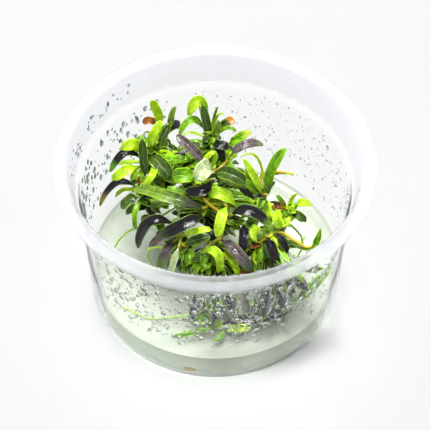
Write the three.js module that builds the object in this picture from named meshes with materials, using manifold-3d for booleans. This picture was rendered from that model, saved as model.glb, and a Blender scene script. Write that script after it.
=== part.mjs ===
// Velvet tricolor bucephalandra in a clear round culture cup, in millimetres, +Z up.
//
// The cup stands on z = 0 and is a thin turned shell with a wide sloping rim. A shallow layer
// of nutrient gel lies on its floor. Ten creeping rhizomes are rooted in the gel, and every
// large leaf is a piece of its own at the end of a short stalk. The stalks, the young leaves
// and the roots grew as one with their rhizome, so they are fused to it.
// The front of the plant is toward -Y.

import * as THREE from 'three';
import { mergeVertices } from 'three/addons/utils/BufferGeometryUtils.js';
import Module from 'manifold-3d';

const wasm = await Module();
wasm.setup();

// Driving dimensions of the cup and the gel.
const RIM_RADIUS = 50;
const LIP_RADIUS = 47.1;
const CUP_HEIGHT = 62.8;
const LEDGE_HEIGHT = 49.5;
const LEDGE_RADIUS = 44.15;
const BASE_RADIUS = 40.8;
const WALL = 0.9;
const FLOOR = 1;
const GEL_TOP = 11;
const GAP = 0.3;
const ROUND_STEPS = 44;

// Driving dimensions of the plant.
const BLADE_THICKNESS = 0.6;
const STALK_RADIUS = 0.42;
const ROOT_RADIUS = 0.35;
const RHIZOME_RADIUS = 1.25;
const POCKET_DEPTH = 3.5;
const POCKET_CLEARANCE = 0.5;
const SPIRAL_TURN = 137.5;
const WHORL_DROOP = 1;
// Where stalks, leaves and roots join their rhizome, corners nearer than the first length are drawn
// together, and then sit on a grid as fine as the second. Where the body would touch itself, the
// next pair is used.
const JOINT_DETAILS = [[0.05, 0.05], [0.04, 0.04], [0.03, 0.03], [0.08, 0.03]];
const CLEAR_OF_EDGE = 0.002;

const LOOKS = {
  velvet: { color: 0x211f2b, roughness: 0.4 },
  mauve: { color: 0x6a5f66, roughness: 0.6 },
  dark: { color: 0x3c5a24, roughness: 0.45 },
  olive: { color: 0x5f7a2c, roughness: 0.5 },
  mid: { color: 0x57a01c, roughness: 0.4 },
  lime: { color: 0x93c91e, roughness: 0.4 },
  pale: { color: 0xb9cf9a, roughness: 0.35 },
  withered: { color: 0x8a5a28, roughness: 0.7 },
  rhizome: { color: 0x8f8a35, roughness: 0.55 },
};

// The ten plantlets. A rhizome runs through the points of its path, from its foot in the gel to
// its growing tip. A leaf row holds its name, its look, the points where the blade starts, bends
// and ends, and its greatest width. A young leaf or twig has only a bend, an end and a width,
// and a root only the points that it runs through.
const PLANTLETS = [
  {
    name: 'rhizome_back_left',
    path: [[-10, 15, 7.5], [-12, 18, 16], [-17, 19, 27], [-20, 19.5, 37], [-18, 26, 43]],
    leaves: [
      ['tall_lime_leaf', 'lime', [-17.5, 27, 46.5], [-18.5, 28, 52], [-20.5, 28.5, 57], 3],
      ['front_lime_leaf', 'lime', [-21.5, 19.5, 45.5], [-19.5, 20, 50.5], [-17, 22, 54.5], 3],
      ['upright_olive_leaf', 'olive', [-15, 25.5, 46], [-14, 27.5, 50], [-12.5, 29.5, 53], 2.2],
      ['rusty_withered_leaf', 'withered', [-19, 28.5, 45.5], [-21, 28, 48], [-23.5, 29, 46], 2.4],
      ['grey_velvet_leaf', 'dark', [-18, 20, 42], [-17, 22.5, 45.5], [-14.5, 25.5, 49], 2.8],
      ['bent_lime_leaf', 'lime', [-23.5, 20.5, 40], [-26, 19.5, 46], [-30, 18, 45], 3.8],
      ['arched_brown_leaf', 'velvet', [-24, 19.5, 39], [-29, 18.5, 43], [-34, 15, 38], 2.8],
      ['low_lime_leaf', 'lime', [-25, 16, 39], [-29, 13.5, 40], [-33, 12, 37], 3.4],
      ['striped_green_leaf', 'dark', [-22.5, 13, 38], [-23, 15.5, 44], [-23, 18.5, 50], 3],
      ['broad_green_leaf', 'dark', [-20.5, 17.5, 42.5], [-17.5, 12, 45], [-14.5, 8.5, 42.5], 5],
    ],
    young: [
      [[-28, 19.5, 37.5], [-31.5, 20, 35.5], 1.4],
      [[-18, 24, 42.5], [-15.5, 25.5, 45.5], 2.4],
      [[-14, 14.5, 44], [-9.5, 14.5, 46], 3],
      [[-19.5, 8, 45.5], [-23, 5.5, 42], 2.2],
      [[-23, 22.5, 41.5], [-25.5, 24.5, 44], 2.8],
      [[-14.5, 20, 40], [-11, 18.5, 41], 2.6],
      [[-15, 11, 39.5], [-10.5, 9.5, 40.5], 3.2],
    ],
    whorl: { from: 0.35, to: 0.95, count: 9, first: 20, rise: 35, long: 11, wide: 3.2, fallen: [7] },
    roots: [
      [[-12, 18, 17], [-19, 15, 14], [-24, 12, 11.7]],
      [[-11, 17, 14], [-9, 23, 12.5], [-4, 27, 11.7]],
    ],
  },
  {
    name: 'rhizome_back',
    path: [[1, 15, 7.5], [0, 17, 18], [-1, 20, 30], [-1.5, 23.5, 43]],
    leaves: [
      ['tall_dark_leaf', 'dark', [-1.5, 23, 45], [-3, 24.5, 51], [-4, 27.5, 56.5], 3],
      ['nodding_lime_leaf', 'lime', [-2.5, 28, 46], [-5, 29.3, 55.5], [-8.5, 27, 51.5], 3.6],
      ['arched_green_leaf', 'mid', [-3.5, 27, 45], [-7.5, 26, 50.5], [-11.5, 23, 46.5], 2.6],
      ['orange_tipped_leaf', 'dark', [1.5, 26, 45], [3.5, 26.5, 48], [6, 28, 49], 3.2],
      ['yellow_tipped_leaf', 'mid', [4, 22, 42.5], [8, 22, 46], [11.5, 23.5, 48], 3.2],
      ['glossy_black_leaf', 'velvet', [-0.5, 20.5, 44.5], [1.5, 18.5, 47], [4.5, 18, 46], 3.4],
    ],
    young: [
      [[-7, 28, 42], [-11, 26, 42], 1],
      [[3.5, 25, 47.5], [7, 24, 47], 1.3],
      [[-0.5, 26.5, 50], [1, 27, 56], 0.9],
      [[0.5, 26.5, 51], [3, 25.5, 53.5], 0.9],
      [[0.5, 24.5, 47], [1, 26.5, 50], 2.4],
      [[4, 17.5, 43], [7, 18.5, 43.5], 2.4],
      [[-6, 19, 42], [-9.5, 17, 43.5], 2.8],
    ],
    whorl: { from: 0.4, to: 0.97, count: 8, first: 60, rise: 35, long: 10, wide: 3, fallen: [] },
    roots: [
      [[0, 17, 17], [4, 22, 14], [9, 25, 11.7]],
    ],
  },
  {
    name: 'rhizome_centre',
    path: [[-1, 3, 7.5], [-2, 4, 18], [-3, 3, 30], [-3, 2, 38], [-2, 9.5, 43]],
    leaves: [
      ['mauve_velvet_leaf', 'mauve', [-3, 10, 47], [-7.5, 13, 51], [-12, 17.5, 53], 3.2],
      ['beaded_grey_leaf', 'mauve', [4, 14.5, 44], [9, 16.5, 49], [15.5, 18.5, 47], 3],
      ['triangular_green_leaf', 'dark', [0, 8.5, 45], [4.5, 4, 49.5], [9.5, 2, 47], 4.6],
      ['wet_pale_leaf', 'pale', [-1, 8, 46.5], [-3, 5, 50.5], [-6, 2, 49], 5.4],
      ['round_green_leaf', 'mid', [-6.5, 8, 44.5], [-9.5, 6, 46.5], [-13.5, 7, 44.5], 5],
      ['black_crescent_leaf', 'velvet', [-1.5, 5.5, 44], [-4, 1, 45], [-9.5, 2.5, 43], 3.6],
      ['long_olive_leaf', 'olive', [-4, -3.5, 42], [-15, -2, 45.5], [-26, 5.5, 40.5], 4.2],
      ['long_black_leaf', 'velvet', [-4, -5, 40], [-10, -9.5, 41], [-17.5, -10.5, 36], 4.2],
      ['hanging_lime_leaf', 'lime', [3.5, -3.5, 42], [2, -8.5, 42], [0.5, -11.5, 37], 3.4],
      ['iridescent_black_leaf', 'velvet', [5.5, -4.5, 40], [11, -6.5, 44], [18, -9.5, 38], 4],
      ['pale_lime_leaf', 'lime', [6.5, -1, 40], [2, 1, 43], [-2.5, 3, 42.5], 4],
    ],
    young: [
      [[0, 11.5, 50.5], [-4, 10.5, 49], 1.6],
      [[-11, 3.5, 42], [-15.5, 5, 41], 2],
      [[4.5, 1.5, 38], [1, 5, 39.5], 0.9],
      [[8, 1, 38], [5, 5, 40], 0.9],
      [[-18, 1, 39], [-17, -0.5, 35.5], 2.2],
    ],
    whorl: { from: 0.3, to: 0.9, count: 10, first: 10, rise: 30, long: 11, wide: 3.4, fallen: [7] },
    roots: [
      [[-2, 4, 18], [-8, 2, 14], [-15, 2, 11.7]],
      [[-2, 4, 20], [3, -1, 14], [6, -5, 11.7]],
    ],
  },
  {
    name: 'rhizome_right',
    path: [[11, 7, 7.5], [12, 8, 16], [15, 9, 25], [16, 8.5, 32]],
    leaves: [
      ['leaning_lime_leaf', 'lime', [15, 8, 35], [12.5, 9, 42], [9, 11.5, 48], 2.6],
      ['tall_green_leaf', 'mid', [16.5, 8, 35], [18, 9.5, 45], [22.5, 12.5, 52], 3.4],
      ['narrow_black_leaf', 'velvet', [12.5, 5, 34], [10, 5.5, 38.5], [7.5, 7, 42], 2.8],
    ],
    young: [
      [[14, 16.5, 42], [8, 16.5, 43], 0.9],
      [[17.5, 14.5, 36], [25.5, 13.5, 37.5], 0.9],
      [[10.5, 11.5, 38], [7.5, 14, 41], 1.8],
    ],
    whorl: { from: 0.4, to: 0.95, count: 6, first: 100, rise: 40, long: 9, wide: 2.8, fallen: [] },
    roots: [
      [[12, 8, 16], [17, 13, 13], [20, 18, 11.7]],
    ],
  },
  {
    name: 'rhizome_far_right',
    path: [[18, 0, 7.5], [20, 1, 15], [22, 3, 23], [23.5, 4, 30]],
    leaves: [
      ['small_lime_leaf', 'lime', [19, 1, 34.5], [19.5, -2.5, 37], [20.5, -5, 33], 3.2],
      ['pointed_lime_leaf', 'lime', [24.5, 4.5, 32], [27.5, 4, 35], [31, 4.5, 34], 2.8],
    ],
    young: [
      [[23.5, 1.5, 32], [22.5, -1.5, 30], 2.4],
      [[26, 3, 31], [28, 1.5, 28.5], 2.2],
      [[21.5, 5.5, 34], [19.5, 6.5, 36], 1.6],
      [[24.5, 6.5, 34], [26.5, 7, 36], 1.2],
    ],
    whorl: { from: 0.35, to: 0.97, count: 6, first: 0, rise: 35, long: 8, wide: 2.6, fallen: [] },
    roots: [
      [[24, 3.5, 27], [28.5, 1, 20], [27, -1, 12]],
      [[20, 1, 15], [26, 4, 12.5], [30, 9, 11.7]],
    ],
  },
  {
    name: 'rhizome_left',
    path: [[-15, 5, 7.5], [-17, 7, 16], [-21, 9, 25], [-23.5, 9.5, 33]],
    leaves: [
      ['long_brown_leaf', 'velvet', [-25.5, 11, 35], [-32, 11, 36.5], [-37.5, 8.5, 28.5], 2.4],
      ['left_green_leaf', 'dark', [-25, 8.5, 33], [-27.5, 7, 33], [-30.5, 6.5, 30], 3.6],
    ],
    young: [
      [[-29, 12.5, 32], [-32.5, 11.5, 29], 1.4],
      [[-25.5, 2.5, 32], [-25.5, 0, 26], 1.8],
      [[-23, 11.5, 37], [-25, 12.5, 39], 1.8],
    ],
    whorl: { from: 0.4, to: 0.95, count: 6, first: 150, rise: 30, long: 9, wide: 2.8, fallen: [] },
    roots: [
      [[-19, 8, 20], [-28.5, 4.5, 20], [-34, 2, 13]],
    ],
  },
  {
    name: 'rhizome_front_left',
    path: [[-6, -4, 7.5], [-7, -5, 16], [-9.5, -6, 25], [-11, -7, 32]],
    leaves: [
      ['wet_black_leaf', 'velvet', [-13, -5.5, 36], [-20.5, -6, 38], [-24.5, -8, 27], 3.6],
      ['textured_grey_leaf', 'mauve', [-12.5, -8.5, 34], [-16.5, -9.5, 34], [-21, -9, 30], 3.2],
      ['hanging_brown_leaf', 'mauve', [-13, -8.5, 31], [-16, -12, 29.5], [-17.5, -13.5, 22], 3.2],
      ['mint_leaf', 'pale', [-11.5, -11, 31.5], [-13, -14.5, 28.5], [-14.5, -16, 23], 2.2],
      ['ribbed_grey_leaf', 'dark', [-9.5, -11, 32.5], [-5.5, -10.5, 34.5], [-1.5, -10, 35.5], 3.2],
    ],
    young: [
      [[-5.5, -10, 38], [-1, -10, 39], 2.2],
      [[-11, -11, 28.5], [-11.5, -12.5, 23.5], 2.4],
    ],
    whorl: { from: 0.35, to: 0.95, count: 7, first: 200, rise: 30, long: 10, wide: 3, fallen: [1, 4, 6] },
    roots: [
      [[-9, -6, 24], [-21.5, -5.5, 23], [-19.5, -8.5, 14]],
      [[-9, -6, 22], [-17.5, -8, 21], [-18, -11, 12]],
    ],
  },
  {
    name: 'rhizome_front',
    path: [[2, -6, 7.5], [1.5, -7, 16], [0, -8, 24], [-0.5, -8, 29]],
    leaves: [
      ['mauve_front_leaf', 'mauve', [2, -9.5, 33], [6.5, -14, 33], [12, -17, 27], 3.8],
      ['arched_lime_leaf', 'lime', [-4, -12, 30], [0.5, -15, 33], [1.5, -16.5, 23.5], 3],
      ['hanging_black_leaf', 'velvet', [9, -5, 35], [9, -9.5, 35], [9, -12.5, 31], 3.4],
    ],
    young: [
      [[5, -13.5, 29.5], [6.5, -15.5, 26], 2.4],
      [[-2.5, -13, 26], [-0.5, -15, 22], 3],
      [[-5, -12.5, 25], [-6.5, -14.5, 22], 2.6],
      [[5, -13, 26], [7.5, -16, 23.5], 2.4],
      [[-4, -10.5, 27], [-7.5, -12.5, 25.5], 2.2],
      [[-4, -20, 22], [-7, -31, 18.5], 4],
      [[0, -20.5, 22], [-0.5, -32, 18.5], 4.2],
      [[4, -20, 22], [6.5, -31.5, 19], 4],
    ],
    whorl: { from: 0.35, to: 0.95, count: 8, first: 250, rise: 30, long: 9, wide: 3, fallen: [7] },
    roots: [
      [[1.5, -7, 16], [4, -13, 14], [4, -18, 11.7]],
    ],
  },
  {
    name: 'rhizome_front_right',
    path: [[12, -3, 7.5], [13, -4, 16], [15.5, -5, 24], [17.5, -5, 30]],
    leaves: [
      ['wet_grey_leaf', 'velvet', [16.5, -9, 33.5], [18, -13, 32.5], [20, -14.5, 27], 3.6],
      ['right_black_leaf', 'velvet', [19.5, -5.5, 31.5], [21.5, -8.5, 30.5], [23, -9.5, 26], 2.6],
      ['paddle_leaf', 'mid', [20.5, -3.5, 30], [29.5, -8.5, 27], [33.5, -6.5, 35], 2.6],
    ],
    young: [
      [[12, -6.5, 33.5], [13.5, -9.5, 32], 2.2],
      [[15, -10.5, 28], [13, -12.5, 25], 2],
      [[19.5, -10.5, 25], [23, -11, 22], 2],
      [[13, -11, 26], [16.5, -13.5, 24], 2.2],
      [[10.5, -8, 28], [9.5, -11, 26.5], 2.2],
      [[17.5, -17.5, 22], [15, -30.5, 19], 4.2],
      [[20, -17, 22.5], [22, -28.5, 20], 4.2],
      [[23.5, -14.5, 23.5], [30, -24, 25.5], 4],
      [[26, -11.5, 24], [34, -18, 29.5], 3.6],
    ],
    whorl: { from: 0.35, to: 0.95, count: 7, first: 300, rise: 35, long: 9, wide: 2.8, fallen: [] },
    roots: [
      [[13, -4, 16], [18, -9, 13], [24, -12, 11.7]],
    ],
  },
  {
    name: 'rhizome_fore',
    path: [[-2, -21, 7.5], [-1.5, -23, 13], [0.5, -27, 13.8], [1, -29.5, 14.4]],
    leaves: [
      ['fore_dark_leaf', 'velvet', [2.5, -28.5, 14.5], [12, -27.5, 15.5], [24, -24.5, 16.5], 4.2],
      ['fore_green_leaf', 'mid', [0, -26, 15.5], [-3, -27.5, 16], [-8, -28.5, 14.5], 3.4],
      ['leaf_on_wall', 'mid', [25.5, -22, 17.5], [31, -18.5, 20.5], [37, -13, 24.5], 3.2],
    ],
    young: [
      [[7, -30.5, 14.5], [11.5, -30, 15.5], 2.6],
      [[2, -32, 13.5], [-0.5, -34, 12.8], 2],
      [[-6, -31, 13.5], [-14, -32, 12.5], 1.8],
    ],
    whorl: { from: 0.5, to: 0.97, count: 3, first: 200, rise: 30, long: 7, wide: 2.4, fallen: [1, 2] },
    roots: [
      [[-1, -24, 11.8], [-12, -24, 12.4], [-21, -24.5, 11.7], [-30, -19.5, 11.8]],
    ],
  },
];

// Shape of a blade: how far along each ring lies, and its share of the greatest half width.
const BLADE_RINGS = [[0, 0.18], [0.13, 0.55], [0.33, 0.96], [0.62, 1], [0.86, 0.72], [1, 0.18]];
const YOUNG_RINGS = [[0, 0.22], [0.55, 1], [1, 0.14]];
const BLADE_FOLD = 0.14;
const TO_LIGHT = new THREE.Vector3(0, -0.45, 0.9);

function vector([x, y, z]) {
  return new THREE.Vector3(x, y, z);
}

// A closed skin over a row of rings with equal numbers of points, each end closed by a fan.
function skin(rings) {
  const count = rings[0].length;
  const points = rings.flat();
  const index = [];
  for (let ring = 0; ring < rings.length - 1; ring += 1) {
    for (let side = 0; side < count; side += 1) {
      const next = (side + 1) % count;
      const a = ring * count + side;
      const b = ring * count + next;
      index.push(a, b, a + count, b, b + count, a + count);
    }
  }
  const lastRing = (rings.length - 1) * count;
  for (let side = 1; side < count - 1; side += 1) {
    index.push(0, side + 1, side);
    index.push(lastRing, lastRing + side, lastRing + side + 1);
  }
  const geometry = new THREE.BufferGeometry().setFromPoints(points);
  geometry.setIndex(index);
  return geometry;
}

// Side and upward directions of a ring that travels along the tangent and faces the light.
function ringFrame(tangent) {
  const side = new THREE.Vector3().crossVectors(TO_LIGHT, tangent).normalize();
  return { side, up: new THREE.Vector3().crossVectors(tangent, side) };
}

// The bow from one point to another that passes through the bend half way.
function bow(start, bend, end) {
  const control = bend.clone().multiplyScalar(2).addScaledVector(start, -0.5).addScaledVector(end, -0.5);
  return new THREE.QuadraticBezierCurve3(start, control, end);
}

// A round rod along a curve, with its radius given by a function of the way along it.
function rod(curve, radiusAt, steps, sides) {
  const rings = [];
  for (let step = 0; step <= steps; step += 1) {
    const along = step / steps;
    const centre = curve.getPoint(along);
    const { side, up } = ringFrame(curve.getTangent(along));
    const ring = [];
    for (let corner = 0; corner < sides; corner += 1) {
      const angle = (2 * Math.PI * corner) / sides;
      const point = centre.clone().addScaledVector(side, radiusAt(along) * Math.cos(angle));
      ring.push(point.addScaledVector(up, radiusAt(along) * Math.sin(angle)));
    }
    rings.push(ring);
  }
  return skin(rings);
}

// Sections of a blade with a given half width: a full one, and a plain one for young leaves.
function fullSection(half, thick) {
  const lift = half * BLADE_FOLD;
  return [
    [half, lift], [half * 0.55, lift * 0.55 + thick], [0, thick * 0.7],
    [-half * 0.55, lift * 0.55 + thick], [-half, lift], [0, -thick],
  ];
}

function plainSection(half, thick) {
  return [[half, thick / 2], [-half, thick / 2], [0, -thick]];
}

// A blade: flat lens sections along a curve, folded up a little on both sides of the midrib.
function blade(curve, width, shape, sectionOf) {
  const rings = shape.map(([along, share]) => {
    const centre = curve.getPoint(along);
    const { side, up } = ringFrame(curve.getTangent(along));
    const half = (share * width) / 2;
    const section = sectionOf(half, Math.min(BLADE_THICKNESS / 2, half * 0.9));
    return section.map(([across, height]) => centre.clone()
      .addScaledVector(side, across).addScaledVector(up, height));
  });
  return skin(rings);
}

// Geometry with one corner at each place.
function merged(geometry) {
  const bare = geometry.clone();
  bare.deleteAttribute('normal');
  bare.deleteAttribute('uv');
  return mergeVertices(bare, 1e-4);
}

// Mesh geometry to a solid that can be joined or cut, and back.
function solid(geometry) {
  const whole = merged(geometry);
  const corners = whole.index.array;
  const kept = [];
  for (let i = 0; i < corners.length; i += 3) {
    const [a, b, c] = corners.slice(i, i + 3);
    if (a !== b && b !== c && c !== a) kept.push(a, b, c);
  }
  return new wasm.Manifold(new wasm.Mesh({
    numProp: 3,
    vertProperties: new Float32Array(whole.attributes.position.array),
    triVerts: new Uint32Array(kept),
  }));
}

function geometryOf(body) {
  const mesh = body.getMesh();
  const geometry = new THREE.BufferGeometry();
  geometry.setAttribute('position', new THREE.BufferAttribute(new Float32Array(mesh.vertProperties), 3));
  geometry.setIndex(new THREE.BufferAttribute(new Uint32Array(mesh.triVerts), 1));
  geometry.computeVertexNormals();
  return geometry;
}

// Whether a body touches itself: more than two faces share an edge, or a corner lies on an edge
// that isn't its own.
function touchesItself(geometry) {
  const whole = merged(geometry);
  const corners = whole.index.array;
  const places = whole.attributes.position;
  const uses = new Map();
  for (let i = 0; i < corners.length; i += 3) {
    for (let side = 0; side < 3; side += 1) {
      const ends = [corners[i + side], corners[i + ((side + 1) % 3)]].sort((a, b) => a - b).join();
      uses.set(ends, (uses.get(ends) ?? 0) + 1);
    }
  }
  if ([...uses.values()].some((count) => count > 2)) return true;
  const edge = new THREE.Line3();
  const point = new THREE.Vector3();
  const nearest = new THREE.Vector3();
  for (const ends of uses.keys()) {
    const [first, last] = ends.split(',').map(Number);
    edge.set(point.fromBufferAttribute(places, first), nearest.fromBufferAttribute(places, last));
    for (let corner = 0; corner < places.count; corner += 1) {
      if (corner === first || corner === last) continue;
      point.fromBufferAttribute(places, corner);
      edge.closestPointToPoint(point, true, nearest);
      if (nearest.distanceTo(point) < CLEAR_OF_EDGE) return true;
    }
  }
  return false;
}

// The body without the tiny steps that joining leaves: its corners sit on a fine grid.
function smoothedJoints(body) {
  for (const [nearness, grid] of JOINT_DETAILS) {
    const geometry = geometryOf(body.asOriginal().simplify(nearness));
    const places = geometry.attributes.position.array;
    for (let i = 0; i < places.length; i += 1) {
      places[i] = Math.round(places[i] / grid) * grid;
    }
    const smoothed = geometryOf(solid(geometry));
    if (!touchesItself(smoothed)) return smoothed;
  }
  return geometryOf(body);
}

function namedMesh(name, geometry, look) {
  geometry.computeVertexNormals();
  const mesh = new THREE.Mesh(geometry, new THREE.MeshStandardMaterial({ metalness: 0, ...look }));
  mesh.name = name;
  return mesh;
}

// Cup: one turned shell, from the middle of its underside over the rim to the middle of its floor.
function cup() {
  const innerBase = BASE_RADIUS - WALL;
  const underLedge = LEDGE_RADIUS - 1.15;
  const profile = [
    [0, 0], [BASE_RADIUS - 1.6, 0], [BASE_RADIUS - 0.5, 0.5], [BASE_RADIUS, 1.6],
    [underLedge, LEDGE_HEIGHT - 1.2], [LEDGE_RADIUS, LEDGE_HEIGHT], [LEDGE_RADIUS + 0.3, LEDGE_HEIGHT + 1.5],
    [LIP_RADIUS - 0.6, CUP_HEIGHT - 3.2], [RIM_RADIUS - 0.5, CUP_HEIGHT - 4], [RIM_RADIUS, CUP_HEIGHT - 3.4],
    [RIM_RADIUS, CUP_HEIGHT - 2.4], [RIM_RADIUS - 0.4, CUP_HEIGHT - 1.9], [LIP_RADIUS + 0.5, CUP_HEIGHT],
    [LIP_RADIUS - 0.2, CUP_HEIGHT], [LIP_RADIUS - 1, CUP_HEIGHT - 1], [LIP_RADIUS - 1.6, CUP_HEIGHT - 3.2],
    [LEDGE_RADIUS - 0.6, LEDGE_HEIGHT + 1.2], [LEDGE_RADIUS - 1.1, LEDGE_HEIGHT],
    [underLedge - WALL, LEDGE_HEIGHT - 1.2], [innerBase, FLOOR + 1.2], [innerBase - 1.2, FLOOR], [0, FLOOR],
  ];
  return new THREE.LatheGeometry(profile.map(([r, z]) => new THREE.Vector2(r, z)), ROUND_STEPS)
    .rotateX(Math.PI / 2);
}

// Gel: a disc that creeps up the wall at its edge, with a pocket for the foot of each rhizome.
function gel() {
  const wallSlope = (LEDGE_RADIUS - 1.15 - BASE_RADIUS) / (LEDGE_HEIGHT - 2.8);
  const foot = BASE_RADIUS - WALL - GAP;
  const edge = foot + GEL_TOP * wallSlope;
  const bottom = FLOOR + GAP;
  const profile = [
    [0, bottom], [foot - 1.5, bottom], [foot - 0.1, bottom + 1.4], [edge, GEL_TOP + 1],
    [edge - 0.8, GEL_TOP + 0.3], [edge - 3, GEL_TOP], [0, GEL_TOP],
  ];
  const disc = new THREE.LatheGeometry(profile.map(([r, z]) => new THREE.Vector2(r, z)), ROUND_STEPS)
    .rotateX(Math.PI / 2);
  let body = solid(disc);
  for (const { path } of PLANTLETS) {
    const [foot0, foot1] = path.slice(0, 2).map(vector);
    const along = foot1.clone().sub(foot0).normalize();
    const pocket = new THREE.LineCurve3(foot0.clone().addScaledVector(along, -GAP),
      foot0.clone().addScaledVector(along, POCKET_DEPTH * 2));
    body = body.subtract(solid(rod(pocket, () => RHIZOME_RADIUS + POCKET_CLEARANCE, 1, 8)));
  }
  return geometryOf(body);
}

// The point of a line through several points that lies nearest to a target.
function nearestOnLine(points, target) {
  let best = points[0];
  for (let i = 1; i < points.length; i += 1) {
    const segment = new THREE.Line3(points[i - 1], points[i]);
    const point = segment.closestPointToPoint(target, true, new THREE.Vector3());
    if (point.distanceTo(target) < best.distanceTo(target)) best = point;
  }
  return best;
}

// Points of the leaves that stand in a spiral around a rhizome, but for the ones that fell off.
function whorlLeaves(curve, { from, to, count, first, rise, long, fallen }) {
  const reach = (heading, climb) => {
    const flat = Math.cos(climb);
    return new THREE.Vector3(flat * Math.cos(heading), flat * Math.sin(heading), Math.sin(climb))
      .multiplyScalar(long / 2);
  };
  const rows = [];
  for (let step = 0; step < count; step += 1) {
    if (fallen.includes(step)) continue;
    const heading = THREE.MathUtils.degToRad(first + SPIRAL_TURN * step);
    const climb = THREE.MathUtils.degToRad(rise);
    const root = curve.getPoint(from + ((to - from) * step) / (count - 1));
    const bend = root.clone().add(reach(heading, climb));
    rows.push({ root, bend, tip: bend.clone().add(reach(heading, climb - WHORL_DROOP)) });
  }
  return rows;
}

// Rhizome with everything that grew as one with it: leaf stalks, young leaves and roots.
function rhizome({ path, leaves, young, whorl, roots }) {
  const curve = new THREE.CatmullRomCurve3(path.map(vector));
  const taper = (along) => RHIZOME_RADIUS * (1 - 0.35 * along);
  let body = solid(rod(curve, taper, path.length, 5));
  const nearest = (target) => nearestOnLine(curve.getPoints(path.length), target);
  for (const [, , from, bend, tip] of leaves) {
    const start = vector(from);
    const ahead = bow(start, vector(bend), vector(tip)).getTangent(0);
    const end = start.clone().addScaledVector(ahead, -GAP);
    const root = nearest(end);
    const control = end.clone().addScaledVector(ahead, -0.4 * end.distanceTo(root));
    const stalk = new THREE.QuadraticBezierCurve3(root, control, end);
    body = body.add(solid(rod(stalk, () => STALK_RADIUS, 2, 3)));
  }
  for (const [bend, tip, width] of young) {
    const root = nearest(vector(bend));
    body = body.add(solid(blade(bow(root, vector(bend), vector(tip)), width, YOUNG_RINGS, plainSection)));
  }
  for (const { root, bend, tip } of whorlLeaves(curve, whorl)) {
    body = body.add(solid(blade(bow(nearest(root), bend, tip), whorl.wide, YOUNG_RINGS, plainSection)));
  }
  for (const points of roots) {
    const line = new THREE.CatmullRomCurve3([nearest(vector(points[0])), ...points.slice(1).map(vector)]);
    body = body.add(solid(rod(line, () => ROOT_RADIUS, points.length, 3)));
  }
  return smoothedJoints(body);
}

const plant = new THREE.Group();
plant.add(namedMesh('cup', cup(), { color: 0xf2f4f3, roughness: 0.15, transparent: true, opacity: 0.3 }));
plant.add(namedMesh('gel', gel(), { color: 0xcdd6c2, roughness: 0.2, transparent: true, opacity: 0.7 }));
for (const plantlet of PLANTLETS) {
  plant.add(namedMesh(plantlet.name, rhizome(plantlet), LOOKS.rhizome));
  for (const [name, look, from, bend, tip, width] of plantlet.leaves) {
    const curve = bow(vector(from), vector(bend), vector(tip));
    plant.add(namedMesh(name, blade(curve, width, BLADE_RINGS, fullSection), LOOKS[look]));
  }
}

export default plant;
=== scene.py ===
# %% [markdown]
# # A velvet tricolor bucephalandra in its culture cup
# This lesson dresses the plain solids of a small water plant in its plastic cup. Every lesson
# step adds one thing that the real object has: the cup, the gel, the leaves, the rhizomes with
# their roots, and the water that has gathered everywhere. Lengths in the lists are in
# millimetres, as a grower would measure them, and are turned into metres when meshes are made.

# %% Load the frame that everything is built around
import math
import random

import bmesh
import bpy
import numpy as np
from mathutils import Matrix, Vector


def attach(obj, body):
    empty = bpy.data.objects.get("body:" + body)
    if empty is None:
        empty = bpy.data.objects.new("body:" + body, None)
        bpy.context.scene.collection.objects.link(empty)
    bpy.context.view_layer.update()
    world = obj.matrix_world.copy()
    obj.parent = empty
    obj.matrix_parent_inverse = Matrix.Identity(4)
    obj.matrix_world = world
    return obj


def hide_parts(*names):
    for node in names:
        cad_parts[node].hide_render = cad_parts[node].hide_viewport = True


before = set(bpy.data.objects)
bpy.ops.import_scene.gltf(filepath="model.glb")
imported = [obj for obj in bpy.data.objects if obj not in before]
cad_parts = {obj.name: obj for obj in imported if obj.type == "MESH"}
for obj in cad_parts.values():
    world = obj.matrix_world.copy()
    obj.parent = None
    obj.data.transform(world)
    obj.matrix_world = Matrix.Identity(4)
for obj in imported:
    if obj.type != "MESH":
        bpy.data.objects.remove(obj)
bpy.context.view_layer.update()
MM = 0.001
print("frame nodes:", len(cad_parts))

# %% [markdown]
# ## Camera and studio
# The picture looks down into the cup at about fifty degrees, from far enough away that the far
# rim looks nearly as wide as the near one. The camera comes first, so that each step can be
# looked at. The floor is a plain white sheet. The light is a dim soft sky, one broad panel behind
# and above the cup, and a smaller one in front, which the wet leaves mirror toward the viewer.

# %% Camera
AIM = Vector((0, 0, 34.04)) * MM
EYE = Vector((0, -381.3, 497.3)) * MM
LENS = 157.3
SENSOR_WIDTH = 36
bpy.ops.object.camera_add(location=EYE, rotation=(AIM - EYE).to_track_quat("-Z", "Y").to_euler())
camera = bpy.context.object
camera.data.lens = LENS
camera.data.sensor_width = SENSOR_WIDTH
bpy.context.scene.camera = camera
print("camera distance:", round((AIM - EYE).length, 3), "m")

# %% Floor, sky and light panels
HORIZON_GLOW = (0.4, 0.405, 0.41, 1)
ZENITH_GLOW = (0.26, 0.265, 0.275, 1)


def start_piece(name, add, **settings):
    """Add a simple thing to model from, under its name, with nothing else selected."""
    bpy.ops.object.select_all(action="DESELECT")
    add(**settings)
    piece = bpy.context.object
    piece.name = name
    return piece


floor = start_piece("white_sheet", bpy.ops.mesh.primitive_plane_add, size=6, location=(0, 0, 0))


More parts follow.
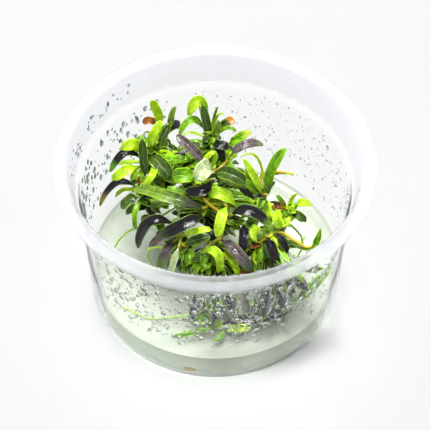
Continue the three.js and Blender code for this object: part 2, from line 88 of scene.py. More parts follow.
def shade_sky(horizon, zenith):
    """A sky that fades from one glow at the horizon to another overhead."""
    sky = bpy.data.worlds.new("soft sky")
    sky.use_nodes = True
    tree = sky.node_tree
    place = tree.nodes.new("ShaderNodeTexCoord")
    parts = tree.nodes.new("ShaderNodeSeparateXYZ")
    ramp = tree.nodes.new("ShaderNodeMapRange")
    mix = tree.nodes.new("ShaderNodeMix")
    mix.data_type = "RGBA"
    mix.inputs[6].default_value = horizon
    mix.inputs[7].default_value = zenith
    tree.links.new(place.outputs["Generated"], parts.inputs[0])
    tree.links.new(parts.outputs["Z"], ramp.inputs[0])
    tree.links.new(ramp.outputs[0], mix.inputs[0])
    tree.links.new(mix.outputs[2], tree.nodes["Background"].inputs["Color"])
    bpy.context.scene.world = sky


shade_sky(HORIZON_GLOW, ZENITH_GLOW)
bpy.context.scene.view_settings.view_transform = "Standard"


def light_panel(name, place, size, watts):
    panel = start_piece(name, bpy.ops.object.light_add, type="AREA", location=place)
    panel.data.shape = "DISK"
    panel.data.size = size
    panel.data.energy = watts
    panel.rotation_euler = (AIM - Vector(place)).to_track_quat("-Z", "Y").to_euler()


light_panel("ceiling panel", (-0.15, 0.42, 1.2), 0.45, 22)
light_panel("key panel", (0.08, -0.26, 1.1), 0.26, 7)
print("studio is lit")

# %% [markdown]
# ## A small kit for finishes
# Every finish is a node tree. A few helpers keep the trees readable: one that adds a node and
# plugs its inputs in, and one that starts a finish from a Principled shader. A colour or number
# that is the same all over goes straight on the shader's own socket. A last helper dresses a
# finished piece: it gives it its finish, hides the solids that it stands for, and hangs it on its body.

# %% Helpers for finishes
class Finish:
    """A material whose nodes are added one by one, each with its inputs given by name."""

    def __init__(self, name, **sockets):
        self.material = bpy.data.materials.new(name)
        self.material.use_nodes = True
        self.tree = self.material.node_tree
        self.skin = self.tree.nodes["Principled BSDF"]
        self.set(self.skin, **sockets)

    def set(self, node, **sockets):
        for key, value in sockets.items():
            self.plug(node, key.replace("_", " "), value)

    def plug(self, node, key, value):
        names = [socket.name.lower() for socket in node.inputs]
        socket = node.inputs[key] if isinstance(key, int) else node.inputs[names.index(key.lower())]
        if isinstance(value, bpy.types.NodeSocket):
            self.tree.links.new(value, socket)
        else:
            socket.default_value = value

    def give(self, key, value):
        self.plug(self.skin, key, value)

    def add(self, kind, settings=None, out=0, **sockets):
        node = self.tree.nodes.new("ShaderNode" + kind)
        for key, value in (settings or {}).items():
            setattr(node, key, value)
        self.set(node, **sockets)
        return node.outputs[out]

    def maths(self, operation, first, second=0.0, third=0.0):
        node = self.tree.nodes.new("ShaderNodeMath")
        node.operation = operation
        for index, value in enumerate((first, second, third)):
            self.plug(node, index, value)
        return node.outputs[0]

    def times(self, first, second):
        return self.maths("MULTIPLY", first, second)

    def flip(self, value):
        return self.maths("SUBTRACT", 1.0, value)

    def parts(self, vector):
        node = self.tree.nodes.new("ShaderNodeSeparateXYZ")
        self.plug(node, 0, vector)
        return node.outputs

    def blend(self, amount, first, second):
        node = self.tree.nodes.new("ShaderNodeMix")
        node.data_type = "RGBA"
        for index, value in ((0, amount), (6, first), (7, second)):
            self.plug(node, index, value)
        return node.outputs[2]

    def step(self, value, low, high):
        node = self.tree.nodes.new("ShaderNodeMapRange")
        node.interpolation_type = "SMOOTHSTEP"
        for index, entry in enumerate((value, low, high)):
            self.plug(node, index, entry)
        return node.outputs[0]

    def place(self):
        return self.add("TexCoord", out="Object")

    def pattern_place(self, size_mm):
        return self.add("Mapping", Vector=self.place(), Scale=[1 / (size_mm * MM)] * 3)

    def grain(self, size_mm, detail=2.0):
        return self.add("TexNoise", Vector=self.pattern_place(size_mm), Scale=1.0, Detail=detail)

    def beads(self, size_mm, roundness):
        """Little round domes scattered over the surface: 1 at the top of a dome, 0 between domes."""
        nearness = self.add("TexVoronoi", Vector=self.pattern_place(size_mm), Scale=1.0)
        return self.flip(self.step(nearness, 0.0, roundness))

    def relief(self, height, strength, depth_mm, film=0.0):
        """Fine relief; a film of water over it shows only a share of the relief."""
        for socket, share in (("normal", 1.0), ("coat normal", film)):
            if share:
                bump = self.add("Bump", Strength=strength * share, Distance=depth_mm * MM, Height=height)
                self.give(socket, bump)


def colour(hex_code):
    """A given screen colour as the linear colour that a shader wants."""
    parts = [((hex_code >> shift) & 255) / 255 for shift in (16, 8, 0)]
    return tuple(p / 12.92 if p <= 0.04045 else ((p + 0.055) / 1.055) ** 2.4 for p in parts) + (1.0,)


def dress(piece, finish, slot_name, *nodes):
    piece.data.materials.append(finish)
    for node in nodes:
        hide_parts(node)
    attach(piece, "root")
    return piece


paper = Finish("white sheet", Roughness=0.9)
paper.give("base color", paper.blend(paper.grain(30), colour(0xb0b0b0), colour(0xb3b3b3)))
floor.data.materials.append(paper.material)
print("finish kit is ready")

# %% [markdown]
# ## The clear cup
# The real cup is thin moulded polypropylene: a flat base, a wall that widens a little, a ledge,
# and a collar that opens into a sloping rim. It is a turned shape, so its half section is drawn
# point by point with extrude, its corners are rounded with a vertex bevel, and the section is
# spun round the upright axis.

# %% Measures of the cup and its half section
RIM_RADIUS = 50
LIP_RADIUS = 47.1
CUP_HEIGHT = 62.8
LEDGE_HEIGHT = 49.5
LEDGE_RADIUS = 44.15
BASE_RADIUS = 40.8
WALL = 0.9
FLOOR = 1
GEL_TOP = 11
UNDER_LEDGE = LEDGE_RADIUS - 1.15
WALL_SLOPE = (UNDER_LEDGE - BASE_RADIUS) / (LEDGE_HEIGHT - 2.8)
CUP_TURNS = 160
GEL_TURNS = 96


def wall_inside(height):
    """Radius of the inner side of the wall at a height under the ledge."""
    return BASE_RADIUS - WALL + WALL_SLOPE * (height - 1.6)


CUP_SECTION = [
    (0, 0), (BASE_RADIUS - 1.6, 0), (BASE_RADIUS - 0.5, 0.5), (BASE_RADIUS, 1.6),
    (UNDER_LEDGE, LEDGE_HEIGHT - 1.2), (LEDGE_RADIUS, LEDGE_HEIGHT), (LEDGE_RADIUS + 0.3, LEDGE_HEIGHT + 1.5),
    (LIP_RADIUS - 0.6, CUP_HEIGHT - 3.2), (RIM_RADIUS - 0.5, CUP_HEIGHT - 4), (RIM_RADIUS, CUP_HEIGHT - 3.4),
    (RIM_RADIUS, CUP_HEIGHT - 2.4), (RIM_RADIUS - 0.4, CUP_HEIGHT - 1.9), (LIP_RADIUS + 0.5, CUP_HEIGHT),
    (LIP_RADIUS - 0.2, CUP_HEIGHT), (LIP_RADIUS - 1, CUP_HEIGHT - 1), (LIP_RADIUS - 1.6, CUP_HEIGHT - 3.2),
    (LEDGE_RADIUS - 0.6, LEDGE_HEIGHT + 1.2), (LEDGE_RADIUS - 1.1, LEDGE_HEIGHT),
    (UNDER_LEDGE - WALL, LEDGE_HEIGHT - 1.2), (BASE_RADIUS - WALL, FLOOR + 1.2),
    (BASE_RADIUS - WALL - 1.2, FLOOR), (0, FLOOR),
]
print("cup section has", len(CUP_SECTION), "corners")

# %% Draw a half section and spin it
def select_where(piece, test):
    net = bmesh.from_edit_mesh(piece.data)
    for point in net.verts:
        point.select_set(bool(test(point.co)))
    bmesh.update_edit_mesh(piece.data)


def turned(name, section, rounding, turns):
    """A closed turned shape: extrude the section as a line, round its corners, spin, merge."""
    piece = start_piece(name, bpy.ops.mesh.primitive_plane_add, size=MM)
    bpy.ops.object.mode_set(mode="EDIT")
    bpy.ops.mesh.merge(type="CENTER")
    bpy.ops.transform.translate(value=(section[0][0] * MM, 0, section[0][1] * MM))
    for (r0, z0), (r1, z1) in zip(section, section[1:]):
        bpy.ops.mesh.extrude_vertices_move(
            TRANSFORM_OT_translate={"value": ((r1 - r0) * MM, 0, (z1 - z0) * MM)})
    select_where(piece, lambda co: co.x > MM)
    bpy.ops.mesh.bevel(offset=rounding * MM, segments=2, affect="VERTICES", clamp_overlap=True)
    bpy.ops.mesh.select_all(action="SELECT")
    bpy.ops.mesh.spin(steps=turns, angle=2 * math.pi, center=(0, 0, 0), axis=(0, 0, 1))
    bpy.ops.mesh.select_all(action="SELECT")
    bpy.ops.mesh.remove_doubles(threshold=0.01 * MM)
    bpy.ops.mesh.normals_make_consistent(inside=False)
    bpy.ops.object.mode_set(mode="OBJECT")
    bpy.ops.object.shade_smooth_by_angle(angle=math.radians(35))
    return piece


clear_cup = turned("clear_cup_shell", CUP_SECTION, 0.25, CUP_TURNS)
print("cup faces:", len(clear_cup.data.polygons))

# %% [markdown]
# ## Clear plastic
# Light goes through the wall, so the shader is nearly all transmissive. Its index is far lower
# than that of polypropylene, because the true one puts dark bands at both sides of the wall. A
# breath of moisture makes the surface slightly matt in patches, and the collar is frosted and
# beaded. Where the plastic is seen edge-on, its colour is painted darker: painted shade along the
# outline of the cup. Lamps shine through the wall as well: for rays that ask how much lamp light
# arrives, the wall is swapped for a faint grey filter, which keeps the shadow under the cup light.

# %% Clear plastic and a rule that lets lamps shine through
def let_lamps_through(finish, tint):
    """Swap the shader for a plain filter where a ray only asks for lamp light."""
    swap = finish.tree.nodes.new("ShaderNodeMixShader")
    finish.plug(swap, 0, finish.add("LightPath", out="Is Shadow Ray"))
    finish.plug(swap, 1, finish.skin.outputs[0])
    finish.plug(swap, 2, finish.add("BsdfTransparent", Color=tint))
    finish.plug(finish.tree.nodes["Material Output"], "surface", swap.outputs[0])


plastic = Finish("clear polypropylene", IOR=1.03)
height = plastic.parts(plastic.place())[2]
frosted = plastic.step(height, (LEDGE_HEIGHT - 1) * MM, (LEDGE_HEIGHT + 1.5) * MM)
mist = plastic.step(plastic.grain(6, 3), 0.4, 0.7)
plastic.give("transmission weight", plastic.maths("MULTIPLY_ADD", frosted, -0.1, 0.955))
# Painted shade: the colour turns grey where the plastic is seen edge-on, along the cup's outline.
edge = plastic.step(plastic.add("LayerWeight", out="Facing", Blend=0.5), 0.72, 1.0)
bare = plastic.blend(frosted, (0.985, 0.99, 0.985, 1), (0.94, 0.94, 0.97, 1))
plastic.give("base color", plastic.blend(plastic.times(edge, 0.6), bare, (0.6, 0.61, 0.64, 1)))
matt = plastic.maths("MULTIPLY_ADD", mist, 0.02, 0.01)
plastic.give("roughness", plastic.maths("MULTIPLY_ADD", frosted, 0.28, matt))
bloom = plastic.maths("ADD", plastic.beads(0.9, 0.45), plastic.grain(0.5, 2))
plastic.relief(plastic.times(frosted, bloom), 0.35, 0.2)
let_lamps_through(plastic, plastic.blend(frosted, (0.83, 0.835, 0.835, 1), (0.85, 0.855, 0.86, 1)))
dress(clear_cup, plastic.material, "clear_cup", "cup")
print("cup is dressed")

# %% [markdown]
# ## The nutrient gel
# The gel is a shallow set jelly. It creeps a little up the wall, its surface is not quite flat,
# and it stands against plastic on every side. It is spun like the cup, and its top is then
# raised and lowered a little by slow waves. It is cloudy, which a pale, slightly rough
# transmissive shader with patches of milk shows well. Its colour is painted greyer near its foot,
# as painted shade, and one tan crumb lies in it near the wall.

# %% Gel body
GEL_SECTION = [
    (0, FLOOR + 0.1), (BASE_RADIUS - WALL - 1.4, FLOOR + 0.1), (BASE_RADIUS - WALL - 0.2, FLOOR + 1.4),
    (wall_inside(GEL_TOP + 1) - 0.1, GEL_TOP + 1), (wall_inside(GEL_TOP) - 0.9, GEL_TOP + 0.3),
    (wall_inside(GEL_TOP) - 3, GEL_TOP), (30, GEL_TOP), (24, GEL_TOP), (18, GEL_TOP), (12, GEL_TOP),
    (6, GEL_TOP), (0, GEL_TOP),
]
gel = turned("nutrient_gel", GEL_SECTION, 0.2, GEL_TURNS)
for point in gel.data.vertices:
    x, y = point.co.x / MM, point.co.y / MM
    if point.co.z > (GEL_TOP - 0.5) * MM and math.hypot(x, y) < 37:
        point.co.z += (0.25 * math.sin(x * 0.31 + 1) * math.cos(y * 0.27) - 0.1) * MM
print("gel faces:", len(gel.data.polygons))

# %% Cloudy gel
CRUMB = (-7.9, -39, 4.4)
CRUMB_HALF_SIZE = (2.1, 3, 1.3)
jelly = Finish("cloudy gel", Transmission_Weight=0.66, IOR=1.34, Roughness=0.1)
milk_and_shade = jelly.blend(jelly.grain(9, 3), colour(0xd6ddca), colour(0xf2f3e8))
# Painted shade: the colour turns teal-grey toward the foot of the gel.
low = jelly.flip(jelly.step(jelly.parts(jelly.place())[2], 1.5 * MM, 7 * MM))
milk_and_shade = jelly.blend(jelly.times(low, 0.6), milk_and_shade, colour(0x9fb2aa))
from_crumb = jelly.add("Mapping", Vector=jelly.place(), Scale=[1 / (half * MM) for half in CRUMB_HALF_SIZE],
                       Location=[-middle / half for middle, half in zip(CRUMB, CRUMB_HALF_SIZE)])
distance = jelly.add("VectorMath", {"operation": "LENGTH"}, "Value", Vector=from_crumb)
milk_and_shade = jelly.blend(jelly.step(distance, 0.8, 1.1), colour(0xc49a5c), milk_and_shade)
jelly.give("base color", milk_and_shade)
jelly.relief(jelly.grain(4, 2), 0.2, 0.5)
let_lamps_through(jelly, (0.97, 0.98, 0.96, 1))
dress(gel, jelly.material, "nutrient_gel", "gel")
print("gel is dressed")

# %% [markdown]
# ## Where the plant grows
# Ten creeping rhizomes make up the clump. Each list gives a rhizome's line, its large leaves
# (name, look, where the blade starts, bends and ends, and its greatest width), its young leaves
# (bend, end and width), the spiral of leaves around it, and its roots. They are the same places
# as in the solids. A spiral starts and ends at shares of the line, and its first leaf has a
# heading and a rise in degrees. Leaves that have fallen are left out by their number.

# %% The ten plantlets
PLANTLETS = {}
PLANTLETS["back_left"] = dict(
    path=[(-10, 15, 7.5), (-12, 18, 16), (-17, 19, 27), (-20, 19.5, 37), (-18, 26, 43)],
    leaves=[
        ("tall_lime_leaf", "lime", (-17.5, 27, 46.5), (-18.5, 28, 52), (-20.5, 28.5, 57), 3),
        ("front_lime_leaf", "lime", (-21.5, 19.5, 45.5), (-19.5, 20, 50.5), (-17, 22, 54.5), 3),
        ("upright_olive_leaf", "olive", (-15, 25.5, 46), (-14, 27.5, 50), (-12.5, 29.5, 53), 2.2),
        ("rusty_withered_leaf", "withered", (-19, 28.5, 45.5), (-21, 28, 48), (-23.5, 29, 46), 2.4),
        ("grey_velvet_leaf", "dark", (-18, 20, 42), (-17, 22.5, 45.5), (-14.5, 25.5, 49), 2.8),
        ("bent_lime_leaf", "lime", (-23.5, 20.5, 40), (-26, 19.5, 46), (-30, 18, 45), 3.8),
        ("arched_brown_leaf", "velvet", (-24, 19.5, 39), (-29, 18.5, 43), (-34, 15, 38), 2.8),
        ("low_lime_leaf", "lime", (-25, 16, 39), (-29, 13.5, 40), (-33, 12, 37), 3.4),
        ("striped_green_leaf", "dark", (-22.5, 13, 38), (-23, 15.5, 44), (-23, 18.5, 50), 3),
        ("broad_green_leaf", "dark", (-20.5, 17.5, 42.5), (-17.5, 12, 45), (-14.5, 8.5, 42.5), 5),
    ],
    young=[
        ((-28, 19.5, 37.5), (-31.5, 20, 35.5), 1.4), ((-18, 24, 42.5), (-15.5, 25.5, 45.5), 2.4),
        ((-14, 14.5, 44), (-9.5, 14.5, 46), 3), ((-19.5, 8, 45.5), (-23, 5.5, 42), 2.2),
        ((-23, 22.5, 41.5), (-25.5, 24.5, 44), 2.8), ((-14.5, 20, 40), (-11, 18.5, 41), 2.6),
        ((-15, 11, 39.5), (-10.5, 9.5, 40.5), 3.2),
    ],
    whorl=dict(start=0.35, end=0.95, count=9, first=20, rise=35, long=11, wide=3.2, fallen=[7]),
    roots=[[(-12, 18, 17), (-19, 15, 14), (-24, 12, 11.7)], [(-11, 17, 14), (-9, 23, 12.5), (-4, 27, 11.7)]],
)
PLANTLETS["back"] = dict(
    path=[(1, 15, 7.5), (0, 17, 18), (-1, 20, 30), (-1.5, 23.5, 43)],
    leaves=[
        ("tall_dark_leaf", "dark", (-1.5, 23, 45), (-3, 24.5, 51), (-4, 27.5, 56.5), 3),
        ("nodding_lime_leaf", "lime", (-2.5, 28, 46), (-5, 29.3, 55.5), (-8.5, 27, 51.5), 3.6),
        ("arched_green_leaf", "mid", (-3.5, 27, 45), (-7.5, 26, 50.5), (-11.5, 23, 46.5), 2.6),
        ("orange_tipped_leaf", "dark", (1.5, 26, 45), (3.5, 26.5, 48), (6, 28, 49), 3.2),
        ("yellow_tipped_leaf", "mid", (4, 22, 42.5), (8, 22, 46), (11.5, 23.5, 48), 3.2),
        ("glossy_black_leaf", "velvet", (-0.5, 20.5, 44.5), (1.5, 18.5, 47), (4.5, 18, 46), 3.4),
    ],
    young=[
        ((-7, 28, 42), (-11, 26, 42), 1), ((3.5, 25, 47.5), (7, 24, 47), 1.3),
        ((-0.5, 26.5, 50), (1, 27, 56), 0.9), ((0.5, 26.5, 51), (3, 25.5, 53.5), 0.9),
        ((0.5, 24.5, 47), (1, 26.5, 50), 2.4), ((4, 17.5, 43), (7, 18.5, 43.5), 2.4),
        ((-6, 19, 42), (-9.5, 17, 43.5), 2.8),
    ],
    whorl=dict(start=0.4, end=0.97, count=8, first=60, rise=35, long=10, wide=3),
    roots=[[(0, 17, 17), (4, 22, 14), (9, 25, 11.7)]],
)
PLANTLETS["centre"] = dict(
    path=[(-1, 3, 7.5), (-2, 4, 18), (-3, 3, 30), (-3, 2, 38), (-2, 9.5, 43)],
    leaves=[
        ("mauve_velvet_leaf", "mauve", (-3, 10, 47), (-7.5, 13, 51), (-12, 17.5, 53), 3.2),
        ("beaded_grey_leaf", "mauve", (4, 14.5, 44), (9, 16.5, 49), (15.5, 18.5, 47), 3),
        ("triangular_green_leaf", "dark", (0, 8.5, 45), (4.5, 4, 49.5), (9.5, 2, 47), 4.6),
        ("wet_pale_leaf", "pale", (-1, 8, 46.5), (-3, 5, 50.5), (-6, 2, 49), 5.4),
        ("round_green_leaf", "mid", (-6.5, 8, 44.5), (-9.5, 6, 46.5), (-13.5, 7, 44.5), 5),
        ("black_crescent_leaf", "velvet", (-1.5, 5.5, 44), (-4, 1, 45), (-9.5, 2.5, 43), 3.6),
        ("long_olive_leaf", "olive", (-4, -3.5, 42), (-15, -2, 45.5), (-26, 5.5, 40.5), 4.2),
        ("long_black_leaf", "velvet", (-4, -5, 40), (-10, -9.5, 41), (-17.5, -10.5, 36), 4.2),
        ("hanging_lime_leaf", "lime", (3.5, -3.5, 42), (2, -8.5, 42), (0.5, -11.5, 37), 3.4),
        ("iridescent_black_leaf", "velvet", (5.5, -4.5, 40), (11, -6.5, 44), (18, -9.5, 38), 4),
        ("pale_lime_leaf", "lime", (6.5, -1, 40), (2, 1, 43), (-2.5, 3, 42.5), 4),
    ],
    young=[
        ((0, 11.5, 50.5), (-4, 10.5, 49), 1.6), ((-11, 3.5, 42), (-15.5, 5, 41), 2),
        ((4.5, 1.5, 38), (1, 5, 39.5), 0.9), ((8, 1, 38), (5, 5, 40), 0.9),
        ((-18, 1, 39), (-17, -0.5, 35.5), 2.2),
    ],
    whorl=dict(start=0.3, end=0.9, count=10, first=10, rise=30, long=11, wide=3.4, fallen=[7]),
    roots=[[(-2, 4, 18), (-8, 2, 14), (-15, 2, 11.7)], [(-2, 4, 20), (3, -1, 14), (6, -5, 11.7)]],
)
PLANTLETS["right"] = dict(
    path=[(11, 7, 7.5), (12, 8, 16), (15, 9, 25), (16, 8.5, 32)],
    leaves=[
        ("leaning_lime_leaf", "lime", (15, 8, 35), (12.5, 9, 42), (9, 11.5, 48), 2.6),
        ("tall_green_leaf", "mid", (16.5, 8, 35), (18, 9.5, 45), (22.5, 12.5, 52), 3.4),
        ("narrow_black_leaf", "velvet", (12.5, 5, 34), (10, 5.5, 38.5), (7.5, 7, 42), 2.8),
    ],
    young=[
        ((14, 16.5, 42), (8, 16.5, 43), 0.9), ((17.5, 14.5, 36), (25.5, 13.5, 37.5), 0.9),
        ((10.5, 11.5, 38), (7.5, 14, 41), 1.8),
    ],
    whorl=dict(start=0.4, end=0.95, count=6, first=100, rise=40, long=9, wide=2.8),
    roots=[[(12, 8, 16), (17, 13, 13), (20, 18, 11.7)]],
)
PLANTLETS["far_right"] = dict(
    path=[(18, 0, 7.5), (20, 1, 15), (22, 3, 23), (23.5, 4, 30)],
    leaves=[
        ("small_lime_leaf", "lime", (19, 1, 34.5), (19.5, -2.5, 37), (20.5, -5, 33), 3.2),
        ("pointed_lime_leaf", "lime", (24.5, 4.5, 32), (27.5, 4, 35), (31, 4.5, 34), 2.8),
    ],
    young=[
        ((23.5, 1.5, 32), (22.5, -1.5, 30), 2.4), ((26, 3, 31), (28, 1.5, 28.5), 2.2),
        ((21.5, 5.5, 34), (19.5, 6.5, 36), 1.6), ((24.5, 6.5, 34), (26.5, 7, 36), 1.2),
    ],
    whorl=dict(start=0.35, end=0.97, count=6, first=0, rise=35, long=8, wide=2.6),
    roots=[[(24, 3.5, 27), (28.5, 1, 20), (27, -1, 12)], [(20, 1, 15), (26, 4, 12.5), (30, 9, 11.7)]],
)
PLANTLETS["left"] = dict(
    path=[(-15, 5, 7.5), (-17, 7, 16), (-21, 9, 25), (-23.5, 9.5, 33)],
    leaves=[
        ("long_brown_leaf", "velvet", (-25.5, 11, 35), (-32, 11, 36.5), (-37.5, 8.5, 28.5), 2.4),
        ("left_green_leaf", "dark", (-25, 8.5, 33), (-27.5, 7, 33), (-30.5, 6.5, 30), 3.6),
    ],
    young=[
        ((-29, 12.5, 32), (-32.5, 11.5, 29), 1.4), ((-25.5, 2.5, 32), (-25.5, 0, 26), 1.8),
        ((-23, 11.5, 37), (-25, 12.5, 39), 1.8),
    ],
    whorl=dict(start=0.4, end=0.95, count=6, first=150, rise=30, long=9, wide=2.8),
    roots=[[(-19, 8, 20), (-28.5, 4.5, 20), (-34, 2, 13)]],
)
PLANTLETS["front_left"] = dict(
    path=[(-6, -4, 7.5), (-7, -5, 16), (-9.5, -6, 25), (-11, -7, 32)],
    leaves=[
        ("wet_black_leaf", "velvet", (-13, -5.5, 36), (-20.5, -6, 38), (-24.5, -8, 27), 3.6),
        ("textured_grey_leaf", "mauve", (-12.5, -8.5, 34), (-16.5, -9.5, 34), (-21, -9, 30), 3.2),
        ("hanging_brown_leaf", "mauve", (-13, -8.5, 31), (-16, -12, 29.5), (-17.5, -13.5, 22), 3.2),
        ("mint_leaf", "pale", (-11.5, -11, 31.5), (-13, -14.5, 28.5), (-14.5, -16, 23), 2.2),
        ("ribbed_grey_leaf", "dark", (-9.5, -11, 32.5), (-5.5, -10.5, 34.5), (-1.5, -10, 35.5), 3.2),
    ],
    young=[((-5.5, -10, 38), (-1, -10, 39), 2.2), ((-11, -11, 28.5), (-11.5, -12.5, 23.5), 2.4)],
    whorl=dict(start=0.35, end=0.95, count=7, first=200, rise=30, long=10, wide=3, fallen=[1, 4, 6]),
    roots=[[(-9, -6, 24), (-21.5, -5.5, 23), (-19.5, -8.5, 14)],
           [(-9, -6, 22), (-17.5, -8, 21), (-18, -11, 12)]],
)
PLANTLETS["front"] = dict(
    path=[(2, -6, 7.5), (1.5, -7, 16), (0, -8, 24), (-0.5, -8, 29)],
    leaves=[
        ("mauve_front_leaf", "mauve", (2, -9.5, 33), (6.5, -14, 33), (12, -17, 27), 3.8),
        ("arched_lime_leaf", "lime", (-4, -12, 30), (0.5, -15, 33), (1.5, -16.5, 23.5), 3),
        ("hanging_black_leaf", "velvet", (9, -5, 35), (9, -9.5, 35), (9, -12.5, 31), 3.4),
    ],
    young=[
        ((5, -13.5, 29.5), (6.5, -15.5, 26), 2.4), ((-2.5, -13, 26), (-0.5, -15, 22), 3),
        ((-5, -12.5, 25), (-6.5, -14.5, 22), 2.6), ((5, -13, 26), (7.5, -16, 23.5), 2.4),
        ((-4, -10.5, 27), (-7.5, -12.5, 25.5), 2.2), ((-4, -20, 22), (-7, -31, 18.5), 4, "velvet"),
        ((0, -20.5, 22), (-0.5, -32, 18.5), 4.2, "velvet"), ((4, -20, 22), (6.5, -31.5, 19), 4, "velvet"),
    ],
    whorl=dict(start=0.35, end=0.95, count=8, first=250, rise=30, long=9, wide=3, fallen=[7]),
    roots=[[(1.5, -7, 16), (4, -13, 14), (4, -18, 11.7)]],
)
PLANTLETS["front_right"] = dict(
    path=[(12, -3, 7.5), (13, -4, 16), (15.5, -5, 24), (17.5, -5, 30)],
    leaves=[
        ("wet_grey_leaf", "velvet", (16.5, -9, 33.5), (18, -13, 32.5), (20, -14.5, 27), 3.6),
        ("right_black_leaf", "velvet", (19.5, -5.5, 31.5), (21.5, -8.5, 30.5), (23, -9.5, 26), 2.6),
        ("paddle_leaf", "mid", (20.5, -3.5, 30), (29.5, -8.5, 27), (33.5, -6.5, 35), 2.6),
    ],
    young=[
        ((12, -6.5, 33.5), (13.5, -9.5, 32), 2.2), ((15, -10.5, 28), (13, -12.5, 25), 2),
        ((19.5, -10.5, 25), (23, -11, 22), 2), ((13, -11, 26), (16.5, -13.5, 24), 2.2),
        ((10.5, -8, 28), (9.5, -11, 26.5), 2.2), ((17.5, -17.5, 22), (15, -30.5, 19), 4.2, "velvet"),
        ((20, -17, 22.5), (22, -28.5, 20), 4.2, "velvet"),
        ((23.5, -14.5, 23.5), (30, -24, 25.5), 4, "velvet"), ((26, -11.5, 24), (34, -18, 29.5), 3.6, "dark"),
    ],
    whorl=dict(start=0.35, end=0.95, count=7, first=300, rise=35, long=9, wide=2.8),
    roots=[[(13, -4, 16), (18, -9, 13), (24, -12, 11.7)]],
)
PLANTLETS["fore"] = dict(
    path=[(-2, -21, 7.5), (-1.5, -23, 13), (0.5, -27, 13.8), (1, -29.5, 14.4)],
    leaves=[
        ("fore_dark_leaf", "velvet", (2.5, -28.5, 14.5), (12, -27.5, 15.5), (24, -24.5, 16.5), 4.2),
        ("fore_green_leaf", "mid", (0, -26, 15.5), (-3, -27.5, 16), (-8, -28.5, 14.5), 3.4),
        ("leaf_on_wall", "mid", (25.5, -22, 17.5), (31, -18.5, 20.5), (37, -13, 24.5), 3.2),
    ],
    young=[
        ((7, -30.5, 14.5), (11.5, -30, 15.5), 2.6), ((2, -32, 13.5), (-0.5, -34, 12.8), 2),
        ((-6, -31, 13.5), (-14, -32, 12.5), 1.8),
    ],
    whorl=dict(start=0.5, end=0.97, count=3, first=200, rise=30, long=7, wide=2.4, fallen=[1, 2]),
    roots=[[(-1, -24, 11.8), (-12, -24, 12.4), (-21, -24.5, 11.7), (-30, -19.5, 11.8)]],
)
print("plantlets:", ", ".join(PLANTLETS))

# %% [markdown]
# ## Lines to grow along
# A rhizome follows a smooth line through its points, and a leaf bows from its start through its
# bend to its tip. A frame of two directions travels along each bow: one across the blade and one
# out of its upper side, which always turns toward the light, as real leaves do.

# %% Smooth lines, bows and the directions of a blade
TO_LIGHT = np.array((0, -0.45, 0.9))
SPIRAL_TURN = 137.5
SPIRAL_DROOP = 1


def smooth_line(points, along):
    """Point on the smooth line through several points, with along going from 0 to 1."""
    points = np.array(points, float)
    place = along * (len(points) - 1)
    index = min(int(place), len(points) - 2)
    share = place - index
    before = points[index - 1] if index else 2 * points[0] - points[1]
    after = points[index + 2] if index + 2 < len(points) else 2 * points[-1] - points[-2]
    p1, p2 = points[index], points[index + 1]
    d0, d1, d2 = [math.sqrt(np.linalg.norm(b - a)) for a, b in ((before, p1), (p1, p2), (p2, after))]
    t1 = ((p1 - before) / d0 - (p2 - before) / (d0 + d1) + (p2 - p1) / d1) * d1
    t2 = ((p2 - p1) / d1 - (after - p1) / (d1 + d2) + (after - p2) / d2) * d1
    s2, s3 = share ** 2, share ** 3
    return (2 * s3 - 3 * s2 + 1) * p1 + (s3 - 2 * s2 + share) * t1 + (3 * s2 - 2 * s3) * p2 + (s3 - s2) * t2


def unit(rows):
    return rows / np.linalg.norm(rows, axis=-1, keepdims=True)


def bow(start, bend, end, along):
    """Points and directions of the bow that passes through its bend half way."""
    start, bend, end = np.array(start, float), np.array(bend, float), np.array(end, float)
    control = 2 * bend - (start + end) / 2
    t = np.asarray(along)[:, None]
    points = (1 - t) ** 2 * start + 2 * t * (1 - t) * control + t ** 2 * end
    return points, unit(2 * (1 - t) * (control - start) + 2 * t * (end - control))


def blade_directions(tangents):
    across = unit(np.cross(TO_LIGHT, tangents))
    return across, np.cross(tangents, across)


def nearest_on(points, target):
    """The point of a line through several points that lies nearest to a target."""
    best = np.array(points[0])
    for a, b in zip(points, points[1:]):
        share = np.clip(np.dot(target - a, b - a) / np.dot(b - a, b - a), 0, 1)
        point = a + share * (b - a)
        if np.linalg.norm(point - target) < np.linalg.norm(best - target):
            best = point
    return best


def slanting(heading, climb):
    """A direction with a heading round the upright axis and a climb above the level."""
    flat = math.cos(climb)
    return np.array((flat * math.cos(heading), flat * math.sin(heading), math.sin(climb)))


def spiral_leaves(path, start, end, count, first, rise, long, wide, fallen=()):
    """Start, bend, tip and width of the leaves that stand in a spiral around a rhizome."""
    rows = []
    for step in range(count):
        if step in fallen:
            continue
        heading = math.radians(first + SPIRAL_TURN * step)
        root = smooth_line(path, start + (end - start) * step / (count - 1))
        bend = root + slanting(heading, math.radians(rise)) * long / 2
        tip = bend + slanting(heading, math.radians(rise) - SPIRAL_DROOP) * long / 2
        rows.append((root, bend, tip, wide))
    return rows


print("bow test:", bow((0, 0, 0), (5, 0, 3), (10, 0, 0), [0.5])[0][0])

# %% [markdown]
# ## One blade, modelled step by step
# A leaf of this plant is a thick little strap: narrow at its stalk, nearly parallel in the
# middle, with a blunt round tip. It folds up a little on both sides of the midrib. One flat grid
# is shaped row by row into that outline, its columns are lifted into the fold, and it is given
# its thickness. All leaves are copies of this blade, bowed along their own lines.

# %% Model the blade
FULL_WIDTH_FROM = 0.34
NARROW_FROM = 0.66
MIDRIB_DEPTH = 0.06
MIDRIB_WIDTH = 0.08


def smooth(share):
    share = np.clip(share, 0, 1)
    return share * share * (3 - 2 * share)


def outline(along):
    """Half width of the blade at a share of its length."""
    base = 0.2 + 0.8 * smooth(along / FULL_WIDTH_FROM)
    tip = max(0.0, 1 - (max(0, along - NARROW_FROM) / 0.342) ** 2.4) ** 0.5
    return base * tip


